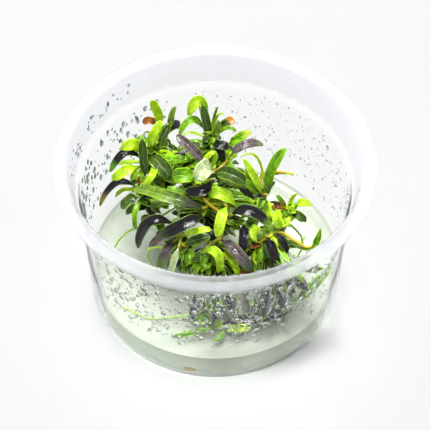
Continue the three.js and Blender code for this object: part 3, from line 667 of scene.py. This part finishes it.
def shaped_blade(name, columns, rows, fold, thickness, levels):
    piece = start_piece(name, bpy.ops.mesh.primitive_grid_add, x_subdivisions=columns, y_subdivisions=rows,
                        size=2, calc_uvs=True)
    bpy.ops.object.mode_set(mode="EDIT")
    bpy.ops.transform.resize(value=(1, 0.5, 1))
    bpy.ops.transform.translate(value=(0, 0.5, 0))
    for row in range(rows + 1):
        along = row / rows
        select_where(piece, lambda co: abs(co.y - along) < 0.3 / rows)
        bpy.ops.transform.resize(value=(max(outline(along), 0.05), 1, 1), center_override=(0, along, 0))
    bpy.ops.object.mode_set(mode="OBJECT")
    for point in piece.data.vertices:
        midrib = MIDRIB_DEPTH * math.exp(-(point.co.x / MIDRIB_WIDTH) ** 2)
        point.co.z = fold * abs(point.co.x) ** 1.4 - midrib
    thick = piece.modifiers.new("thickness", "SOLIDIFY")
    thick.thickness = thickness
    thick.offset = 0
    bpy.ops.object.modifier_apply(modifier="thickness")
    if levels:
        soft = piece.modifiers.new("softness", "SUBSURF")
        soft.levels = soft.render_levels = levels
        bpy.ops.object.modifier_apply(modifier="softness")
    bpy.ops.object.shade_smooth()
    return piece


large_blade = shaped_blade("large blade", 8, 18, 0.22, 0.22, 1)
small_blade = shaped_blade("small blade", 2, 9, 0.3, 0.2, 0)
print("blade faces:", len(large_blade.data.polygons), "and", len(small_blade.data.polygons))


# %% Bow a copy of the blade along a leaf's line
def corner_places(mesh):
    co = np.zeros(len(mesh.vertices) * 3)
    mesh.vertices.foreach_get("co", co)
    return co.reshape(-1, 3)


TWIST = 0.7
WAVES = (8, 17)
CURL = (-0.12, 0.35)
SWAY = 0.15


def bowed(pattern, start, bend, tip, width, dice, ripple=0.16, stalk=0.0):
    """Corner places of a copy of the blade along its bow, in millimetres. A stalk takes the first
    share of the length, and the blade opens after it."""
    co = corner_places(pattern.data)
    along = np.clip(co[:, 1], 0, 1)
    centre, tangent = bow(start, bend, tip, along)
    across, out = blade_directions(tangent)
    turn = (dice.uniform(-TWIST, TWIST) * (along - 0.25))[:, None]
    across, out = across * np.cos(turn) + out * np.sin(turn), out * np.cos(turn) - across * np.sin(turn)
    half = width / 2 * (0.35 + 0.65 * smooth((along - stalk) / 0.2) if stalk else 1.0)
    edge = np.abs(co[:, 0]) ** 2
    wave = ripple * edge * np.sin(along * dice.uniform(*WAVES) + dice.uniform(0, 6) + np.sign(co[:, 0]))
    curl = dice.uniform(*CURL) * edge * smooth(along / 0.5)
    sway = dice.uniform(-SWAY, SWAY) * np.sin(along * math.pi * 1.5)
    sideways = (co[:, 0] + sway) * half
    upwards = (co[:, 2] + wave + curl) * half
    return centre + across * sideways[:, None] + out * upwards[:, None]


print("bowing is ready")

# %% [markdown]
# ## Leaf finishes
# The plant is called tricolor for a reason. Old leaves are velvet black with violet-grey veins and
# specks, whose tone is partly painted sheen, middle-aged ones are deep green, and young ones are
# bright lime. All of them share one build: a thin midrib, fine side veins, pale specks, a lighter
# rim that is partly the leaf's own margin and partly painted highlight, and a wet skin. The pattern
# follows the blade through its own map, and a painted attribute blends in a different tip or base.

# %% A leaf finish
VEINS_ALONG = 62.0
VEIN_SLANT = 9.0
VEIN_SHARPNESS = 6.0


def leaf_finish(name, deep, light, rim_and_highlight, vein, speck, roughness, coat, glow, vein_share, rim_and_highlight_share, shine):
    leaf = Finish(name + " leaf", Roughness=roughness, Coat_Weight=coat, Coat_Roughness=0.08, IOR=1.42,
                  Specular_IOR_Level=shine, Subsurface_Weight=glow,
                  Subsurface_Radius=(0.4 * MM, 0.7 * MM, 0.15 * MM))
    place = leaf.add("UVMap", {"uv_map": "UVMap"})
    across, along = leaf.parts(place)[:2]
    side = leaf.maths("ABSOLUTE", leaf.maths("MULTIPLY_ADD", across, 2.0, -1.0))
    midrib = leaf.flip(leaf.step(side, 0.03, 0.13))
    phase = leaf.maths("SUBTRACT", leaf.times(along, VEINS_ALONG), leaf.times(side, VEIN_SLANT))
    ribs = leaf.maths("POWER", leaf.maths("ABSOLUTE", leaf.maths("SINE", phase)), VEIN_SHARPNESS)
    lengthwise = leaf.add("Mapping", Vector=place, Scale=(11, 2.5, 1))
    streaks = leaf.add("TexNoise", Vector=lengthwise, Scale=1.0, Detail=4.0)
    mottle = leaf.maths("MULTIPLY_ADD", streaks, 0.6, leaf.times(leaf.grain(1.4, 4), 0.5))
    face = leaf.blend(leaf.step(mottle, 0.42, 0.68), colour(deep), colour(light))
    # The last mark is the lighter rim: partly the leaf's own margin, partly painted highlight.
    for mark, share, tone in ((ribs, vein_share * 0.5, vein), (midrib, vein_share, vein),
                              (leaf.step(leaf.grain(0.4, 1), 0.6, 0.72), speck, vein),
                              (leaf.step(side, 0.84, 0.98), rim_and_highlight_share, rim_and_highlight)):
        face = leaf.blend(leaf.times(mark, share), face, colour(tone))
    paint = {"attribute_name": "tint"}
    face = leaf.blend(leaf.add("Attribute", paint, "Alpha"), face, leaf.add("Attribute", paint, "Color"))
    leaf.give("base color", face)
    leaf.give("roughness", leaf.maths("MULTIPLY_ADD", leaf.grain(0.8, 2), 0.25, roughness - 0.12))
    height = leaf.maths("MULTIPLY_ADD", ribs, 0.4, leaf.times(leaf.grain(0.7, 3), 2.0))
    leaf.relief(leaf.maths("SUBTRACT", height, midrib), 0.9, 0.22, 0.25)
    return leaf.material


# Each row: name; deep, light, rim and vein colours; how much of specks, roughness, wet coat,
# light from within, veins, rim and shine. The rim is partly the leaf's own margin and partly
# painted highlight.
LEAF_TONES = {
    # The velvet row's violet-grey vein colour is partly the leaf's own veins and specks and partly painted
    # sheen.
    "velvet": ("velvet black", 0x030304, 0x121014, 0x8cb020, 0x403c44, 0.35, 0.42, 0.8, 0, 0.3, 0.6, 0.1),
    "mauve": ("mauve velvet", 0x261f1e, 0x6e625e, 0x7c8c36, 0xa89c98, 0.6, 0.5, 0.6, 0.02, 0.4, 0.6, 0.15),
    "dark": ("deep green", 0x0c1d01, 0x3a5c04, 0x94c818, 0x98b858, 0.4, 0.4, 0.7, 0.05, 0.35, 0.9, 0.15),
    "olive": ("olive", 0x2c4404, 0x6e9414, 0xb4d828, 0xb0d058, 0.35, 0.42, 0.6, 0.08, 0.4, 0.7, 0.25),
    "mid": ("mid green", 0x2e6a00, 0x88c804, 0xc4f01c, 0xb8e638, 0.25, 0.36, 0.6, 0.15, 0.4, 0.7, 0.25),
    "lime": ("lime", 0x86c800, 0xcef208, 0xe8fc4c, 0xe0fa5c, 0.2, 0.36, 0.6, 0.2, 0.35, 0.6, 0.25),
    # The pale wet look is partly a pale leaf colour and partly painted reflection of the white surroundings.
    "pale": ("pale wet", 0x98b068, 0xd4e4a8, 0xe8f4b8, 0xf0f8d8, 0.35, 0.22, 0.9, 0.2, 0.3, 0.5, 0.5),
    "withered": ("withered", 0x5a2408, 0xd0801c, 0xe8ac30, 0x3a1c0c, 0.35, 0.6, 0.3, 0.08, 0.5, 0.5, 0.5),
}
LEAF_FINISHES = {look: leaf_finish(*tones) for look, tones in LEAF_TONES.items()}
print("leaf finishes:", ", ".join(LEAF_FINISHES))

# %% [markdown]
# ## Large leaves
# Each large leaf is a copy of the blade with its own mesh. Some have a tip or a base of another
# colour, so a tint is painted on their corners: its alpha says how much of it shows.

# %% Tips and bases of another colour
TINTS = {
    "orange_tipped_leaf": ("tip", 0.62, 0xd98f3b), "yellow_tipped_leaf": ("tip", 0.6, 0xb5c53a),
    "arched_brown_leaf": ("tip", 0.78, 0x5d9a1e), "long_brown_leaf": ("tip", 0.75, 0x8a7a2a),
    "long_olive_leaf": ("base", 0.5, 0x35332f), "hanging_brown_leaf": ("tip", 0.6, 0x6f8c40),
    "iridescent_black_leaf": ("tip", 0.8, 0x7fae20), "beaded_grey_leaf": ("tip", 0.82, 0x76953a),
    "mauve_front_leaf": ("tip", 0.75, 0x3b4f2b), "pointed_lime_leaf": ("tip", 0.85, 0xd8e060),
    "long_black_leaf": ("tip", 0.8, 0x3a4a1c), "wet_black_leaf": ("base", 0.25, 0x2c3c1c),
}


def paint_tint(mesh, along, rule):
    layer = mesh.color_attributes.new("tint", "FLOAT_COLOR", "POINT")
    values = np.zeros((len(along), 4))
    if rule:
        end, edge, code = rule
        share = (along - edge) / 0.14 if end == "tip" else (edge - along) / 0.3
        values[:, :3] = colour(code)[:3]
        values[:, 3] = np.clip(share, 0, 1) * 0.9
    layer.data.foreach_set("color", values.ravel())


STALKS = {"paddle_leaf": 0.6, "tall_green_leaf": 0.12, "pointed_lime_leaf": 0.3, "beaded_grey_leaf": 0.15}


def make_large_leaf(name, look, start, bend, tip, width, dice):
    leaf = bpy.data.objects.new(name + "_blade", large_blade.data.copy())
    bpy.context.collection.objects.link(leaf)
    along = corner_places(leaf.data)[:, 1]
    places = bowed(large_blade, start, bend, tip, width, dice, stalk=STALKS.get(name, 0.0))
    leaf.data.vertices.foreach_set("co", (places * MM).ravel())
    paint_tint(leaf.data, along, TINTS.get(name))
    leaf.data.update()
    return dress(leaf, LEAF_FINISHES[look], look + "_leaf", name)


leaf_dice = random.Random(7)
leaf_rows = {row[0]: row for plantlet in PLANTLETS.values() for row in plantlet["leaves"]}
large_leaves = [make_large_leaf(*row, leaf_dice) for row in leaf_rows.values()]
print("large leaves made:", len(large_leaves))

# %% [markdown]
# ## Rhizomes, stalks and roots
# A rhizome is a crooked little stem, olive and brown, that ends in a growing tip. Stalks run
# from it to each leaf, and pale green roots go down into the gel. Lines with a thickness suit
# them all: one curve object per plantlet holds every line, with its own radius at each point,
# and is turned into a mesh at the end. A few amber stalks show among the leaves.

# %% Grow the lines of a plantlet
RHIZOME_RADIUS = 1.25
STALK_RADIUS = 0.42
ROOT_RADIUS = 0.35
PATH_STEPS = 32


def thick_lines(name, lines, resolution=4):
    """One closed mesh from many lines, each a list of (point, radius) rows in millimetres."""
    shape = start_piece(name, bpy.ops.curve.primitive_nurbs_path_add).data
    shape.splines.clear()
    shape.bevel_depth = MM
    shape.bevel_resolution = resolution
    shape.use_fill_caps = True
    for rows in lines:
        spline = shape.splines.new("POLY")
        spline.points.add(len(rows) - 1)
        for target, (point, radius) in zip(spline.points, rows):
            target.co = (*(np.array(point) * MM), 1)
            target.radius = radius
    bpy.ops.object.convert(target="MESH")
    bpy.ops.object.shade_smooth_by_angle(angle=math.radians(50))
    return bpy.context.object


def fine_path(plantlet):
    return [smooth_line(plantlet["path"], step / PATH_STEPS) for step in range(PATH_STEPS + 1)]


def stem_lines(plantlet, dice):
    fine = fine_path(plantlet)
    stem = []
    for step, point in enumerate(fine):
        along = step / PATH_STEPS
        node_ring = 0.12 * math.sin(along * 46) + dice.uniform(-0.05, 0.05)
        end_round = min(1, (1.02 - along) * 12) ** 0.5
        stem.append((point, RHIZOME_RADIUS * (1 - 0.35 * along + node_ring) * end_round))
    lines = [stem]
    for _, _, start, bend, tip, _ in plantlet["leaves"]:
        _, tangent = bow(start, bend, tip, [0.0])
        target = np.array(start, float)
        root = nearest_on(fine, target)
        control = target - tangent[0] * 0.4 * np.linalg.norm(target - root)
        rows = []
        for share in np.linspace(0, 1, 9):
            point = (1 - share) ** 2 * root + 2 * share * (1 - share) * control + share ** 2 * target
            rows.append((point, STALK_RADIUS * (1.25 - 0.35 * math.sin(share * math.pi))))
        lines.append(rows)
    return lines


def root_lines(plantlet, dice):
    lines = []
    for points in plantlet["roots"]:
        chain = [nearest_on(fine_path(plantlet), np.array(points[0], float))]
        chain += [np.array(p, float) for p in points[1:]]
        rows = []
        for share in np.linspace(0, 1, 18):
            wobble = np.array([dice.uniform(-0.12, 0.12) for _ in range(3)]) * (0.05 < share < 0.95)
            rows.append((smooth_line(chain, share) + wobble, ROOT_RADIUS * (1.1 - 0.3 * share)))
        lines.append(rows)
    return lines


def line_finish(name, first, second, spots):
    """A finish for stems, stalks and roots: two tones in patches, spots, and a wet skin."""
    skin = Finish(name, Roughness=0.4, Coat_Weight=0.4, Coat_Roughness=0.12,
                  Subsurface_Weight=0.1, Subsurface_Radius=(0.6 * MM, 0.5 * MM, 0.2 * MM))
    tones = skin.blend(skin.step(skin.grain(3.2, 3), 0.35, 0.65), colour(first), colour(second))
    tones = skin.blend(skin.step(skin.grain(1.6, 3), 0.58, 0.75), tones, colour(spots))
    skin.give("base color", tones)
    skin.relief(skin.grain(0.5, 3), 0.6, 0.2, 0.6)
    return skin.material


bark = line_finish("rhizome skin", 0x86a81e, 0xb09a28, 0x6b4318)
green_thread = line_finish("root skin", 0x86be14, 0xbce42c, 0x9a9a34)
amber = line_finish("amber stalk", 0xb8b018, 0xe0b824, 0xb0601c)
stem_dice = random.Random(11)
for place, plantlet in PLANTLETS.items():
    stem = thick_lines("stem_" + place, stem_lines(plantlet, stem_dice))
    dress(stem, bark, "rhizome", "rhizome_" + place)
    threads = thick_lines("roots_" + place, root_lines(plantlet, stem_dice), 2)
    dress(threads, green_thread, "rhizome", "rhizome_" + place)
print("rhizomes grown:", len(PLANTLETS))

# %% Amber stalks that show among the leaves
AMBER_STALKS = {
    "centre": [[(-3, 2.5, 36), (-4.2, 2, 41), (-2, -0.4, 40), (1.8, -1.6, 37), (3, -3, 33)]],
    "right": [[(15.8, 8.6, 31), (15, 14, 37.5), (19, 15, 37.8), (25.4, 15, 36.6)],
              [(15.5, 8.6, 31), (12, 13.5, 38), (9, 13.5, 39.5)]],
    "front_right": [[(17, -5, 29.5), (20.7, -4.6, 31), (25.5, -6.6, 29), (29.7, -8, 27.4), (32, -8, 29)],
                    [(16, -5, 25), (14.5, -8, 30.5), (18.4, -6.4, 32)],
                    [(15, -5, 22), (13.7, -8.3, 28), (12, -9.3, 24.5)]],
    "far_right": [[(21, 2.5, 20), (19.5, 4, 30), (18.3, 3.2, 35.5)]],
}
for place, courses in AMBER_STALKS.items():
    lines = [[(smooth_line(points, share), 0.62 - 0.2 * share) for share in np.linspace(0, 1, 14)]
             for points in courses]
    dress(thick_lines("amber_" + place, lines, 3), amber, "rhizome", "rhizome_" + place)
print("amber stalks:", sum(len(courses) for courses in AMBER_STALKS.values()))

# %% [markdown]
# ## The pale fan
# In the middle of the clump a tuft of new stalks, too young for blades, spreads like a fan. Each
# is one thin line from a common foot to a head of its own.

# %% A fan of pale new stalks in the middle
FAN_STALKS = 16
pale_stalk = line_finish("pale new stalk", 0xbce820, 0xe8fa84, 0x9ccc18)
fan_lines = []
for index in range(FAN_STALKS):
    spread = index / (FAN_STALKS - 1)
    foot = np.array((2.2 + 2.6 * spread, 6.0, 27 + stem_dice.uniform(-0.6, 0.6)))
    rise = 35.5 + 2.2 * math.sin(math.pi * spread)
    head = np.array((-4.2 + 12.5 * spread, 8.4 + stem_dice.uniform(-0.8, 0.8), rise))
    middle = (foot + head) / 2 + (0, -1.6, stem_dice.uniform(-0.5, 0.8))
    fan_lines.append([(smooth_line([foot, middle, head], share), 0.36 - 0.12 * share)
                      for share in np.linspace(0, 1, 8)])
dress(thick_lines("fan_centre", fan_lines, 2), pale_stalk, "rhizome", "rhizome_centre")
print("pale stalks in the fan:", len(fan_lines))

# %% [markdown]
# ## Young leaves and the leaves around each rhizome
# The small leaves fill the clump. They use the smaller blade, and those of one plantlet and one
# finish are joined in a single mesh, because there are so many of them.

# %% Join small leaves by finish
def joined_copies(name, pattern, places, finish, slot_name, *nodes):
    """One mesh with a copy of the pattern at each place; a place is an array of corner points."""
    count = len(pattern.data.vertices)
    corners = np.concatenate(places)
    faces = [tuple(corner + count * copy for corner in polygon.vertices)
             for copy in range(len(places)) for polygon in pattern.data.polygons]
    mesh = bpy.data.meshes.new(name)
    mesh.from_pydata((corners * MM).tolist(), [], faces)
    piece = bpy.data.objects.new(name, mesh)
    bpy.context.collection.objects.link(piece)
    if pattern.data.uv_layers:
        flat = np.zeros(len(pattern.data.loops) * 2)
        pattern.data.uv_layers[0].data.foreach_get("uv", flat)
        mesh.uv_layers.new(name="UVMap").data.foreach_set("uv", np.tile(flat, len(places)))
        paint_tint(mesh, np.zeros(len(corners)), None)
    mesh.polygons.foreach_set("use_smooth", [True] * len(mesh.polygons))
    return dress(piece, finish, slot_name, *nodes)


def joined_leaves(kind, look, place, rows):
    joined_copies(f"{kind}_{look}_{place}", small_blade, rows, LEAF_FINISHES[look], look + "_leaf",
                  "rhizome_" + place)


YOUNG_LOOKS = ["lime", "mid", "mid", "lime", "olive"]
SPIRAL_LOOKS = ["dark", "mid", "velvet", "dark", "lime"]
small_dice = random.Random(23)
small_count = 0
for place, plantlet in PLANTLETS.items():
    fine = fine_path(plantlet)
    by_look = {}
    for index, (bend, tip, width, *own_look) in enumerate(plantlet["young"]):
        root = nearest_on(fine, np.array(bend, float))
        look = own_look[0] if own_look else YOUNG_LOOKS[index % len(YOUNG_LOOKS)]
        by_look.setdefault(look, []).append((root, bend, tip, width))
    for index, (root, *rest) in enumerate(spiral_leaves(plantlet["path"], **plantlet["whorl"])):
        look = SPIRAL_LOOKS[index % len(SPIRAL_LOOKS)]
        by_look.setdefault(look, []).append((nearest_on(fine, root), *rest))
    for look, rows in by_look.items():
        joined_leaves("small", look, place, [bowed(small_blade, *row, small_dice) for row in rows])
        small_count += len(rows)
print("small leaves made:", small_count)

# %% [markdown]
# ## The crowd in the heart of the clump
# Between the leaves that can be told apart there are many more that can't, packed so closely that
# hardly any light falls through. Each row below is a spot in the clump with a reach, a number of
# leaves and their looks. A leaf starts on its rhizome and ends somewhere within reach of the spot.

# %% Fill the clump
CROWD = [
    ("back_left", (-20.5, 18, 42.5), 5, 14, "mid lime dark"),
    ("back_left", (-14, 13.5, 42), 5, 16, "mid dark lime mid"),
    ("left", (-22.5, 10.5, 36.5), 5, 12, "olive dark lime dark"),
    ("left", (-24, 12.5, 37.5), 2.4, 7, "withered"),
    ("back", (-1, 20.5, 44), 4.5, 14, "mid lime dark"),
    ("centre", (-5, 7, 42), 5, 14, "dark mid velvet"),
    ("centre", (2, 4, 38), 4.5, 16, "lime lime mid"),
    ("centre", (1, 5, 40), 2.6, 14, "lime pale lime"),
    ("centre", (-8, 3, 38), 6, 18, "mid dark lime dark"),
    ("centre", (9, 3, 37), 6, 16, "dark mid lime olive"),
    ("back_left", (-16, 10, 37), 6, 16, "dark mid lime"),
    ("back", (4, 17, 40), 5, 14, "mid dark lime"),
    ("centre", (-11, -1, 34), 5, 12, "dark olive velvet"),
    ("centre", (6, -4, 33), 5, 14, "velvet mid dark"),
    ("right", (9, 11, 40), 4.5, 10, "mid lime dark"),
    ("right", (9, 12.5, 39.5), 2.5, 4, "withered"),
    ("centre", (3, 5, 32), 7, 26, "dark velvet dark"),
    ("centre", (-6, 4, 33), 7, 22, "dark velvet mid"),
    ("right", (11, 5, 31), 6, 20, "dark mid velvet"),
    ("back_left", (-15, 14, 35), 6, 18, "dark velvet mid"),
    ("left", (-19, 8, 32), 6, 18, "dark velvet mid"),
    ("back", (1, 16, 37), 6, 18, "dark mid dark"),
    ("back_left", (-14.5, 20, 40), 4.5, 22, "dark mid velvet lime dark"),
    ("back", (-10.5, 19, 39), 5, 24, "dark velvet mid dark olive"),
    ("back", (-5, 18, 40), 4.5, 16, "dark mid lime dark"),
    ("centre", (-9, 14, 38), 5, 16, "dark mid velvet lime"),
    ("front_left", (-13, -6, 26), 6, 18, "dark velvet dark"),
    ("front_right", (12, -4, 26), 6, 20, "dark velvet mid"),
    ("far_right", (25, 3, 33), 3, 26, "lime mid lime"),
    ("far_right", (22, -1, 31), 4, 18, "lime mid lime"),
    ("far_right", (19, 3.4, 34), 1.6, 3, "withered"),
    ("far_right", (28, 5.5, 27.5), 1.6, 4, "withered"),
    ("right", (12.5, 6.7, 33), 2, 5, "withered"),
    ("front_right", (17, -3, 27.5), 2, 4, "withered"),
    ("front_right", (19, -10, 25), 2.4, 6, "withered"),
    ("front_left", (-12, -9, 27), 5, 14, "dark mid olive"),
    ("front", (-1, -11, 27), 6, 20, "dark mid lime olive"),
    ("front", (6, -12, 25), 5, 18, "dark velvet mid olive"),
    ("front", (-2, -14, 23), 5, 20, "dark mid olive lime"),
    ("front", (9, -14, 21), 5, 16, "dark mid withered dark"),
    ("front_left", (-9, -13, 22), 5, 14, "dark mid dark"),
    ("front", (-1, -27, 21), 5, 14, "velvet dark velvet"),
    ("front_right", (12, -26, 21.5), 5, 18, "velvet velvet dark"),
    ("front_right", (24, -21, 24), 5.5, 20, "velvet dark velvet mid"),
    ("front_right", (17, -9, 26), 6, 26, "mid dark lime"),
    ("front_right", (14, -12, 22), 5, 20, "dark mid dark withered"),
    ("front_right", (11.5, -8, 28), 5, 12, "dark olive withered"),
]


def crowd_leaf(fine, spot, reach, dice):
    """Start, bend, tip and width of a leaf that ends near a spot."""
    away = unit(np.array([dice.gauss(0, 1) for _ in range(3)]))
    tip = np.array(spot, float) + away * reach * dice.uniform(0.3, 1)
    root = nearest_on(fine, tip - (0, 0, 2))
    middle = (root + tip) / 2 + np.array((dice.uniform(-1, 1), dice.uniform(-1, 1), dice.uniform(0.5, 2.5)))
    return root, middle, tip, dice.uniform(0.35, 0.65) * min(reach, 4.5)


crowd_dice = random.Random(47)
crowd_by_look = {}
for place, spot, reach, count, looks in CROWD:
    fine = fine_path(PLANTLETS[place])
    looks = looks.split()
    for index in range(count):
        look = looks[index % len(looks)]
        rows = crowd_by_look.setdefault((place, look), [])
        rows.append(bowed(small_blade, *crowd_leaf(fine, spot, reach, crowd_dice), crowd_dice,
                          ripple=0.5 if look == "withered" else 0.2))
for (place, look), rows in crowd_by_look.items():
    joined_leaves("crowd", look, place, rows)
print("leaves in the crowd:", sum(len(rows) for rows in crowd_by_look.values()))

# %% [markdown]
# ## Water
# The cup has been closed and warm, so its wall is beaded with condensation, and larger drops sit
# on the leaves. One drop is modelled from a sphere: its back is cut off flat and closed. It has
# few faces, because it is repeated many hundreds of times, and a finer one is kept for the few
# drops that catch the eye.

# %% Model one drop
def model_drop(name, segments, rings):
    piece = start_piece(name, bpy.ops.mesh.primitive_uv_sphere_add, segments=segments, ring_count=rings,
                        radius=1)
    bpy.ops.object.mode_set(mode="EDIT")
    bpy.ops.mesh.select_all(action="SELECT")
    bpy.ops.mesh.bisect(plane_co=(0, 0, -0.15), plane_no=(0, 0, 1), use_fill=True, clear_inner=True)
    bpy.ops.mesh.select_all(action="SELECT")
    bpy.ops.transform.translate(value=(0, 0, 0.15))
    bpy.ops.mesh.normals_make_consistent(inside=False)
    bpy.ops.object.mode_set(mode="OBJECT")
    return piece


drop = model_drop("one drop", 8, 6)
fine_drop = model_drop("fine drop", 18, 12)
print("drop faces:", len(drop.data.polygons), "and", len(fine_drop.data.polygons))

# %% [markdown]
# ## What water looks like
# A drop bends light like a little lens. It is clear where it is looked straight into, and its
# colour is painted darker toward its outline, as painted shade. Drops that stand before something
# dark and grey get a grey colour all over, which is painted shade too.

# %% Three kinds of water
def water_finish(name, index, matt, patch_size, patch, clear, lamp_tint, outline_shade=None):
    """Water in two close tones; painted shade toward the outline is given by a start, a full width, an amount
    and a tone.
    """
    finish = Finish(name, Transmission_Weight=1.0, IOR=index)
    finish.give("roughness", finish.times(finish.grain(6, 1), matt))
    tone = finish.blend(finish.grain(patch_size, 1), patch, clear)
    if outline_shade:
        low, high, amount, shade = outline_shade
        # Painted shade: the colour darkens toward the drop's outline.
        outline_shade_share = finish.step(finish.add("LayerWeight", out="Facing", Blend=0.5), low, high)
        tone = finish.blend(finish.times(outline_shade_share, amount), tone, shade)
    finish.give("base color", tone)
    let_lamps_through(finish, lamp_tint)
    return finish.material


CLEAR_WATER = (5, (0.96, 0.98, 0.97, 1), (1, 1, 1, 1), (0.96, 0.97, 0.97, 1))
# For water and water on leaves, the last entry is the painted shade toward the outline.
water = water_finish("water", 1.42, 0.03, *CLEAR_WATER, (0.35, 0.9, 0.75, (0.2, 0.24, 0.22, 1)))
leaf_water = water_finish("water on leaves", 1.33, 0.03, *CLEAR_WATER,
                          (0.12, 0.5, 0.92, (0.03, 0.04, 0.03, 1)))
# Painted shade: these drops are grey all over, standing in for the dark things seen through them.
shade_painted_water = water_finish("shade-painted water", 1.33, 0.05, 9, (0.42, 0.5, 0.5, 1), (0.7, 0.76, 0.74, 1),
                            (0.8, 0.83, 0.82, 1))
print("water finishes are ready")

# %% [markdown]
# ## Condensation
# Drops cling to the inner side of the wall, round at the front and drawn out downhill at the far
# side. They are scattered by dice between two angles and two heights, small ones far more often
# than large ones, and a fine row stands along the mouth. A drop casts no shadow of its own.

# %% Condensation on the wall
COLLAR_SLOPE = 0.22
FRONT_ANGLES = (198, 342)
FRONT_HEIGHTS = (18, 47.8)
MOUTH_ANGLES = (195, 345)
MOUTH_HEIGHTS = (60.6, 62)
SMALL_DROPS = 1200
BEADS = 250
MOUTH_BEADS = 170


def drop_on(point, outward, radius, height, stretch=1.0, pattern=drop):
    """Corner places of a drop that sits on a surface; stretch lengthens it downhill."""
    outward = unit(np.array(outward, float))
    side = unit(np.cross((0, 0, 1), outward))
    downhill = np.cross(outward, side)
    co = corner_places(pattern.data)
    return (np.array(point, float) + co[:, :1] * side * radius + co[:, 1:2] * downhill * radius * stretch
            + co[:, 2:] * outward * height)


def wall_drop(angle, height, radius, stretch, depth=0.6, pattern=drop):
    heading = math.radians(angle)
    if height < LEDGE_HEIGHT - 1.5:
        inside = wall_inside(height) - 0.03
    else:
        inside = LEDGE_RADIUS - 0.65 + COLLAR_SLOPE * (height - LEDGE_HEIGHT - 1.2)
    out = np.array((math.cos(heading), math.sin(heading), 0))
    return drop_on(out * inside + (0, 0, height), -out, radius, radius * depth, stretch, pattern)


def lay_drops(name, pattern, places, finish):
    joined_copies(name, pattern, places, finish, "clear_cup").visible_shadow = False


wall_dice = random.Random(5)
mist_places, shade_painted_places, bead_places = [], [], []
for index in range(SMALL_DROPS):
    size = 0.16 + 0.34 * wall_dice.random() ** 2
    place = wall_drop(wall_dice.uniform(*FRONT_ANGLES), wall_dice.uniform(*FRONT_HEIGHTS), size, 1.1, 0.8)
    # Every other small drop at the front gets water with painted shade.
    (shade_painted_places if index % 2 else mist_places).append(place)
for _ in range(BEADS):
    size = 0.35 + 0.75 * wall_dice.random() ** 2
    angle = wall_dice.gauss(264, 40)
    bead_places.append(wall_drop(angle, 20 + 27.5 * wall_dice.random() ** 0.7, size, 1.05, 0.85, fine_drop))
for _ in range(MOUTH_BEADS):
    mist_places.append(wall_drop(wall_dice.uniform(*MOUTH_ANGLES), wall_dice.uniform(*MOUTH_HEIGHTS),
                                 wall_dice.uniform(0.2, 0.42), 1.0))
lay_drops("condensation_on_wall", drop, mist_places, water)
lay_drops("shade_painted_condensation", drop, shade_painted_places, shade_painted_water)
lay_drops("beads_on_wall", fine_drop, bead_places, water)
print("drops at the front:", len(mist_places) + len(shade_painted_places) + len(bead_places))

# %% Drops on the far side
# Each row: how many; angles; heights; least radius and what dice add to it; how rare large ones
# are; stretch.
FAR_DROPS = [
    (190, (112, 200), (24, 47.5), 0.26, 0.62, 2, 1.7),
    (40, (128, 185), (51.5, 57), 0.26, 0.4, 2, 1.7),
    (620, (-25, 100), (18, 47.5), 0.1, 0.24, 3, 1.9),
]
far_places = []
for count, angles, heights, least, more, rarity, stretch in FAR_DROPS:
    for _ in range(count):
        far_places.append(wall_drop(wall_dice.uniform(*angles), wall_dice.uniform(*heights),
                                    least + more * wall_dice.random() ** rarity, stretch))
# The drops on the far side get water with painted shade.
lay_drops("condensation_far_side", drop, far_places, shade_painted_water)
print("drops on the far side:", len(far_places))

# %% [markdown]
# ## Drops on the leaves
# Small drops lie anywhere on the upper sides of the large leaves. A few leaves carry one large
# drop at a known share of their length, and one more hangs at the left.

# %% Drops on the leaves
BIG_DROPS = {
    "mauve_front_leaf": (0.5, 1.35), "iridescent_black_leaf": (0.62, 0.95), "long_olive_leaf": (0.5, 0.6),
    "tall_green_leaf": (0.75, 0.6), "triangular_green_leaf": (0.35, 1.0), "wet_pale_leaf": (0.45, 0.9),
    "upright_olive_leaf": (0.1, 0.9), "grey_velvet_leaf": (0.8, 1.0), "mauve_velvet_leaf": (0.6, 0.75),
    "beaded_grey_leaf": (0.45, 0.7), "hanging_black_leaf": (0.85, 0.6), "wet_black_leaf": (0.25, 0.7),
}


def leaf_drop(corner, size, height_share, pattern=drop):
    return drop_on(np.array(corner.co) / MM, corner.normal, size, size * height_share, pattern=pattern)


leaf_drop_dice = random.Random(31)
leaf_places, big_places = [], []
for leaf in large_leaves:
    corners = [c for c in leaf.data.vertices if c.normal.dot(Vector(TO_LIGHT)) > 0.35]
    for _ in range(leaf_drop_dice.choice((6, 9, 12))):
        corner = leaf_drop_dice.choice(corners)
        size = leaf_drop_dice.choice((0.16, 0.2, 0.25, 0.3, 0.42))
        leaf_places.append(leaf_drop(corner, size, 0.75))
    name = leaf.name.removesuffix("_blade")
    if name in BIG_DROPS:
        along, size = BIG_DROPS[name]
        spot = bow(*leaf_rows[name][2:5], [along])[0][0]
        corner = min(corners, key=lambda c: np.linalg.norm(np.array(c.co) / MM - spot))
        big_places.append(leaf_drop(corner, size, 0.85, fine_drop))
lay_drops("drops_on_leaves", drop, leaf_places, leaf_water)
big_places.append(drop_on((-21.7, 21.5, 48.2), (0, -0.6, 0.8), 1.35, 1.5, pattern=fine_drop))
lay_drops("large_drops", fine_drop, big_places, leaf_water)
print("drops on leaves:", len(leaf_places), "and", len(big_places), "large ones")

# %% [markdown]
# ## Clearing up
# The patterns that were copied have done their work and are removed.

# %% Remove the patterns
for pattern in (large_blade, small_blade, drop, fine_drop):
    bpy.data.objects.remove(pattern, do_unlink=True)
